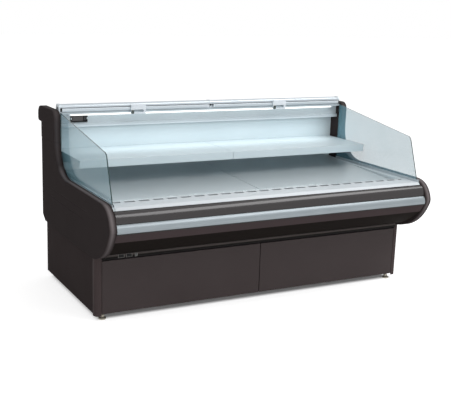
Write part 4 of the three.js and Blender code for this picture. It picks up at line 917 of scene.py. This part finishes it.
# %% Blind housings and brackets
HOUSE_FRONT, HOUSE_REAR, HOUSE_FOOT, HOUSE_TOP = 0.322, 0.372, 0.9883, 1.0333
SLOT_FOOT, SLOT_TOP = 1.0033, 1.0143
for side, word in SIDES:
    housing = bent_sheet("X", side * 0.0073, side * 0.9249, [
        (HOUSE_FRONT, SLOT_TOP), (HOUSE_FRONT, HOUSE_TOP, 0.015), (HOUSE_REAR, HOUSE_TOP, 0.015),
        (HOUSE_REAR, HOUSE_FOOT, 0.001), (HOUSE_FRONT, HOUSE_FOOT, 0.001),
        (HOUSE_FRONT, SLOT_FOOT)], 0.002, inside=(0.347, 1.01))
    skin(f"blind_housing_{word}", ease(housing, 0.0004, over=70), aluminium)
    dress(f"blind_end_cap_{word}", aluminium, 0.0008)
dress("blind_bracket_middle", aluminium, 0.0008)


def plug(name, at, outward, radius, depth):
    """A round black plug that tapers outward."""
    bm = bmesh.new()
    turned = Vector(outward).to_track_quat("Z", "Y").to_matrix().to_4x4()
    bmesh.ops.create_cone(bm, cap_ends=True, segments=24, radius1=radius, radius2=radius * 0.82,
                          depth=depth, matrix=Matrix.Translation(at) @ turned)
    keep(name, ease(bm, 0.0005), black_plastic)


plug("housing_plug_middle", (0, 0.3185, 1.008), (0, -1, 0), 0.006, 0.004)
for side, word in SIDES:
    plug(f"roller_plug_{word}", (side * 0.9368, 0.347, 1.0108), (side, 0, 0), 0.0065, 0.003)
print("housings:", [name for name in made if "housing" in name])

# %% [markdown]
# In front of each slot lies the blind's pull bar, an aluminium extrusion closed by a plastic plug
# at each end. A white handle is clipped to its middle: a plate with a hole for the fingers, and a
# grey latch beside the hole. All of them ride on the blind.

# %% Pull bars, plugs and handles
BAR_INNER, BAR_OUTER, HANDLE_X, PLUG_LENGTH = 0.017, 0.9275, 0.47225, 0.007
latch_grey = moulding("latch_grey", tint(64, 72, 70), tint(88, 96, 94), grain=0.0009,
                      depth=0.00004, roughness=0.4)
for side, word in SIDES:
    blind = f"blind_{word}"
    bar = solid_bar("X", side * BAR_INNER, side * BAR_OUTER,
                    box_corners(0.3087, 0.3197, 0.9933, 1.0113, 0.004))
    skin(f"blind_pull_bar_{word}", ease(bar, 0.0004, over=70), aluminium)
    for end, x, colour in (("inner", 0.0168, white_plastic), ("outer", 0.9207, black_plastic)):
        tip = solid_bar("X", side * x, side * (x + PLUG_LENGTH),
                        box_corners(0.3083, 0.32, 0.993, 1.0116, 0.0042))
        keep(f"pull_bar_plug_{word}_{end}", ease(tip, 0.0008), colour, blind)
    x = side * HANDLE_X
    handle = holed_plate("Y", 0.3084, -0.01,
                         box_corners(x - 0.0459, x + 0.0459, 0.9714, 1.0252, 0.006),
                         box_corners(x - 0.031, x + 0.031, 0.9793, 0.9953, 0.006))
    skin(f"blind_handle_{word}", ease(handle, 0.0016, 3), white_plastic)
    latch = pad("Y", 0.2982, -0.0045,
                box_corners(x - 0.0455, x - 0.0285, 0.9722, 0.9935, 0.004), 0.0012)
    keep(f"handle_latch_{word}", latch, latch_grey, blind)
print("pull bars:", [name for name in made if "pull_bar" in name])

# %% [markdown]
# A night blind is a woven cloth, cut flat and wound on its roller. Its path is worked out first,
# seen from the side: a short run from the pull bar through the slot, which touches the roller
# where its turns begin, and then ten turns that wind inwards to the core.

# %% The path that the cloth follows
ROLLER_Y, ROLLER_Z, OUTER, CORE, LAYER = 0.347, 1.0108, 0.0149, 0.0115, 0.00034
BAR_Y, BAR_Z, WIND_STEP = 0.3185, 1.006, 15
offset = Vector((ROLLER_Y - BAR_Y, ROLLER_Z - BAR_Z))
run = math.sqrt(offset.length_squared - OUTER ** 2)
slope = math.atan2(offset.y, offset.x) - math.asin(OUTER / offset.length)


def along_run(distance):
    return BAR_Y + distance * math.cos(slope), BAR_Z + distance * math.sin(slope)


def cloth_path():
    """Points along the cloth, (distance, y, z), from the pull bar to the core."""
    path = [(d, *along_run(d)) for d in [0.0004 * k for k in range(12)] + [0.0055, 0.01, 0.016]]
    touch_y, touch_z = along_run(run)
    angle = math.atan2(touch_z - ROLLER_Z, touch_y - ROLLER_Y)
    distance, radius = run, OUTER
    while radius > CORE:
        path.append((distance, ROLLER_Y + radius * math.cos(angle),
                     ROLLER_Z + radius * math.sin(angle)))
        distance += radius * math.radians(WIND_STEP)
        angle += math.radians(WIND_STEP)
        radius -= LAYER * WIND_STEP / 360
    return path


cloth_rows = cloth_path()
CLOTH_WIDTH, CLOTH_LENGTH = 0.898, cloth_rows[-1][0]
print("cloth cut:", CLOTH_WIDTH, "by", round(CLOTH_LENGTH, 3), "m in", len(cloth_rows), "rows")

# %% [markdown]
# The cloth starts as a flat grid with the cut's own coordinates, which the weave follows, and
# each row is then laid on its place of the path.

# %% Wind the cloth
THREADS = 260.0


def weave(place):
    """Warp and weft from the cut's own coordinates, with a fine reflective thread."""
    cut = Wire(place.tree.nodes.new("ShaderNodeUVMap").outputs[0])
    warp, weft = (cut.node("ShaderNodeTexWave", {"bands_direction": across},
                           {"Vector": cut, "Scale": THREADS}) for across in "XY")
    threads = warp * 0.5 + weft * 0.5
    cloth_tone = threads * 0.7 + place.cloudy(0.05) * 0.3
    return {"Base Color": cloth_tone.shade(tint(150, 156, 162), tint(208, 213, 218)),
            "Roughness": threads * 0.2 + 0.55,
            "Normal": relief(place, threads, 0.0002)}


def row_of(vert):
    """Where the path takes this vertex of the unit grid."""
    return cloth_rows[round((vert.co.y + 0.5) * (len(cloth_rows) - 1))]


blind_cloth = finish("blind_cloth", weave)
for side, word in SIDES:
    bm = bmesh.new()
    layer = bm.loops.layers.uv.new("cut")
    bmesh.ops.create_grid(bm, x_segments=3, y_segments=len(cloth_rows) - 1, size=0.5)
    middle = side * (BAR_INNER + BAR_OUTER) / 2
    for face in bm.faces:
        for loop in face.loops:
            loop[layer].uv = (loop.vert.co.x + 0.5, row_of(loop.vert)[0])
    for vert in bm.verts:
        vert.co = (middle + vert.co.x * CLOTH_WIDTH, *row_of(vert)[1:])
    cloth = mesh_object(f"blind_cloth_{word}", bm, blind_cloth)
    cloth.data.shade_smooth()
    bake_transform(cloth)
    made[cloth.name] = cloth
print("cloth pieces:", [name for name in made if "cloth" in name])

# %% [markdown]
# Each roller is a tube with a pin at each end, thinner than its solid by the cloth that is wound
# on it. Both are plain round bars, turned from standing up to lying along X.


# %% Rollers under the cloth
def round_bar(bm, start, end, radius, segments=32):
    lying = (Matrix.Translation(((start + end) / 2, ROLLER_Y, ROLLER_Z))
             @ Matrix.Rotation(math.pi / 2, 4, "Y"))
    bmesh.ops.create_cone(bm, cap_ends=True, segments=segments, radius1=radius, radius2=radius,
                          depth=abs(end - start), matrix=lying)
    return bm


for side, word in SIDES:
    roller = round_bar(bmesh.new(), side * 0.0076, side * 0.9246, CORE - 0.0002)
    round_bar(roller, side * 0.0016, side * 0.9306, 0.004, 16)
    skin(f"blind_roller_{word}", roller, aluminium)
print("rollers:", [round(x, 3) for x in made["blind_roller_left_skin"].dimensions])

# %% [markdown]
# The side glasses are cut from 6 mm plate with one rounded corner and polished edges. The faces
# and the edges are one solid with two materials, chosen by which way each face looks.

# %% Side glasses
GLASS_IN, GLASS_OUT = 0.9284, 0.9344
glass_outline = [(-0.506, 0.6387, 0.003), (0.305, 0.6387), (0.305, 0.988), (-0.419, 0.885, 0.03)]
for side, word in SIDES:
    glass = ease(solid_bar("X", side * GLASS_IN, side * GLASS_OUT, glass_outline), 0.0008, 2, 60)
    for face in glass.faces:
        face.material_index = 0 if abs(face.normal.x) > 0.5 else 1
    skin(f"side_glass_{word}", glass, (glass_face, glass_edge))
print("glass:", [round(x, 3) for x in made["side_glass_left_skin"].dimensions])

# %% [markdown]
# What works inside is left as solid shapes, welded so that round parts look round: the cooling
# coil, the condensing unit and the fans. The compressor and its pipes are one solid, and the
# faces that lie outside the shell's box are the copper ones. The frame, the tub and the air grid
# keep their own meshes and only get their finishes.

# %% Working parts and what keeps its own mesh
SHELL_TOP, SHELL_REAR, SHELL_LEFT, SHELL_RIGHT = 0.2555, 0.12, -0.045, 0.165
for node, material in (("evaporator_coil", coil_fins), ("condenser_coil", coil_fins),
                       ("drain_pipe", black_plastic)):
    skin(node, copy_of(node), material, smooth=50)
for node in ("evaporator_fan_left", "evaporator_fan_right", "condenser_fan"):
    dress(node, black_plastic, 0.0004, over=50)
shell_black = powder_coat("shell_black", tint(20, 21, 23), tint(34, 35, 38),
                          roughness=0.35, scuffs=0.0)
unit = ease(copy_of("compressor"), 0.001, over=50)
for face in unit.faces:
    x, y, z = face.calc_center_median()
    shell = z <= SHELL_TOP and y <= SHELL_REAR and SHELL_LEFT < x < SHELL_RIGHT
    face.material_index = 0 if shell else 1
skin("compressor", unit, (shell_black, copper_pipe))
dress("condenser_fan_shroud", frame_paint, 0.0004, over=60)
for node, material in (("base_frame", frame_paint), ("insulated_tub", tub_finish),
                       ("air_honeycomb", black_plastic)):
    for holder in frame["nodes"][node].material_slots:
        holder.material = material
print("working parts:", len(made))

# %% [markdown]
# Screws hold the sheets at the back. A pan head is a flattened ball, half of it sunk in the
# sheet, and one mesh holds them all.

# %% Screws at the rear
HEAD_RADIUS, HEAD_FLATNESS = 0.0042, 0.45
SCREW_COLUMNS = (-0.92, -0.46, 0.0, 0.46, 0.92)
SCREW_ROWS = ((REAR - 0.0008, 0.05), (REAR - 0.0008, 0.317), (0.4874, 0.945))


def pan_head(bm, place):
    head = bmesh.ops.create_uvsphere(bm, u_segments=14, v_segments=8,
                                     radius=HEAD_RADIUS)["verts"]
    bmesh.ops.scale(bm, verts=head, vec=(1, HEAD_FLATNESS, 1))
    bmesh.ops.translate(bm, verts=head, vec=place)


screws = bmesh.new()
for x in SCREW_COLUMNS:
    for y, z in SCREW_ROWS:
        pan_head(screws, (x, y, z))
keep("rear_screws", screws, zinc, smooth=60)
print("screws:", len(made["rear_screws"].data.polygons), "faces")

# %% [markdown]
# The stage starts with a pale floor. The camera, metal and glass see it as white paper, because
# it glows for their rays alone, and it still darkens under the cabinet. The glow fades inside the
# plinth, so that a pulled front panel opens onto shadow.

# %% Floor
PLINTH_X, PLINTH_Y, PLINTH_MIDDLE = 0.95, 0.4, 0.075


def seen_directly(wire):
    """1 for the rays of the camera, of reflections and of glass, and 0 for those of light."""
    rays = wire.tree.nodes.new("ShaderNodeLightPath").outputs
    camera_ray, glossy, glass = (Wire(rays[f"Is {kind} Ray"])
                                 for kind in ("Camera", "Glossy", "Transmission"))
    return camera_ray.at_least(glossy.at_least(glass))


paper = bpy.data.materials.new("paper")
paper.use_nodes = True
tree = paper.node_tree
sheen = tree.nodes["Principled BSDF"]
sheen.inputs["Roughness"].default_value = 0.9
sheen.inputs["Base Color"].default_value = (0.82, 0.82, 0.82, 1)
glow = Wire(tree.nodes.new("ShaderNodeEmission").outputs[0])
place = Wire(tree.nodes.new("ShaderNodeTexCoord").outputs["Object"])
inside_x = PLINTH_X - abs(place.axis("X"))
inside_y = PLINTH_Y - abs(place.axis("Y") - PLINTH_MIDDLE)
covered = inside_x.at_most(inside_y).at_least(0.0) * 25.0
open_floor = 1 - covered.at_most(0.9)
strength = seen_directly(glow) * open_floor * 0.66
tree.links.new(strength.socket, glow.socket.node.inputs["Strength"])
both = glow.node("ShaderNodeAddShader", {}, {0: Wire(sheen.outputs[0]), 1: glow})
tree.links.new(both.socket, tree.nodes["Material Output"].inputs["Surface"])
floor_grid = bmesh.new()
bmesh.ops.create_grid(floor_grid, x_segments=1, y_segments=1, size=30)
floor = mesh_object("floor", floor_grid, paper)
print("floor:", floor.dimensions[:2])

# %% [markdown]
# The light is soft studio light. A long lamp hangs in front and above, where the bumpers mirror
# it as one streak, a weaker one fills from the front, and a thin one lies under the hood. The
# world adds an even glow, and is white where it is seen.

# %% World and lamps
WHITE, AMBIENT = 1.0, 0.48
world = bpy.data.worlds.new("studio")
bpy.context.scene.world = world
world.use_nodes = True
air = world.node_tree.nodes["Background"]
light_level = seen_directly(Wire(air.outputs[0])) * (WHITE - AMBIENT) + AMBIENT
world.node_tree.links.new(light_level.socket, air.inputs["Strength"])
air.inputs["Color"].default_value = (1, 1, 1, 1)


def softbox(name, place, target, size, power):
    light = bpy.data.lights.new(name, "AREA")
    light.shape, light.size, light.size_y, light.energy = "RECTANGLE", size[0], size[1], power
    aim = (Vector(target) - Vector(place)).to_track_quat("-Z", "Y").to_matrix().to_4x4()
    add_object(name, light).matrix_world = Matrix.Translation(place) @ aim


softbox("key", (2.2, -2.3, 4.3), (0.0, -0.5, 0.6), (5.0, 2.0), 112)
softbox("fill", (-1.0, -5.2, 1.6), (0.2, -0.3, 0.5), (2.0, 1.2), 45)
softbox("hood_lamp", (0.0, 0.29, 0.915), (0.0, 0.28, 0.6), (1.7, 0.02), 1.1)
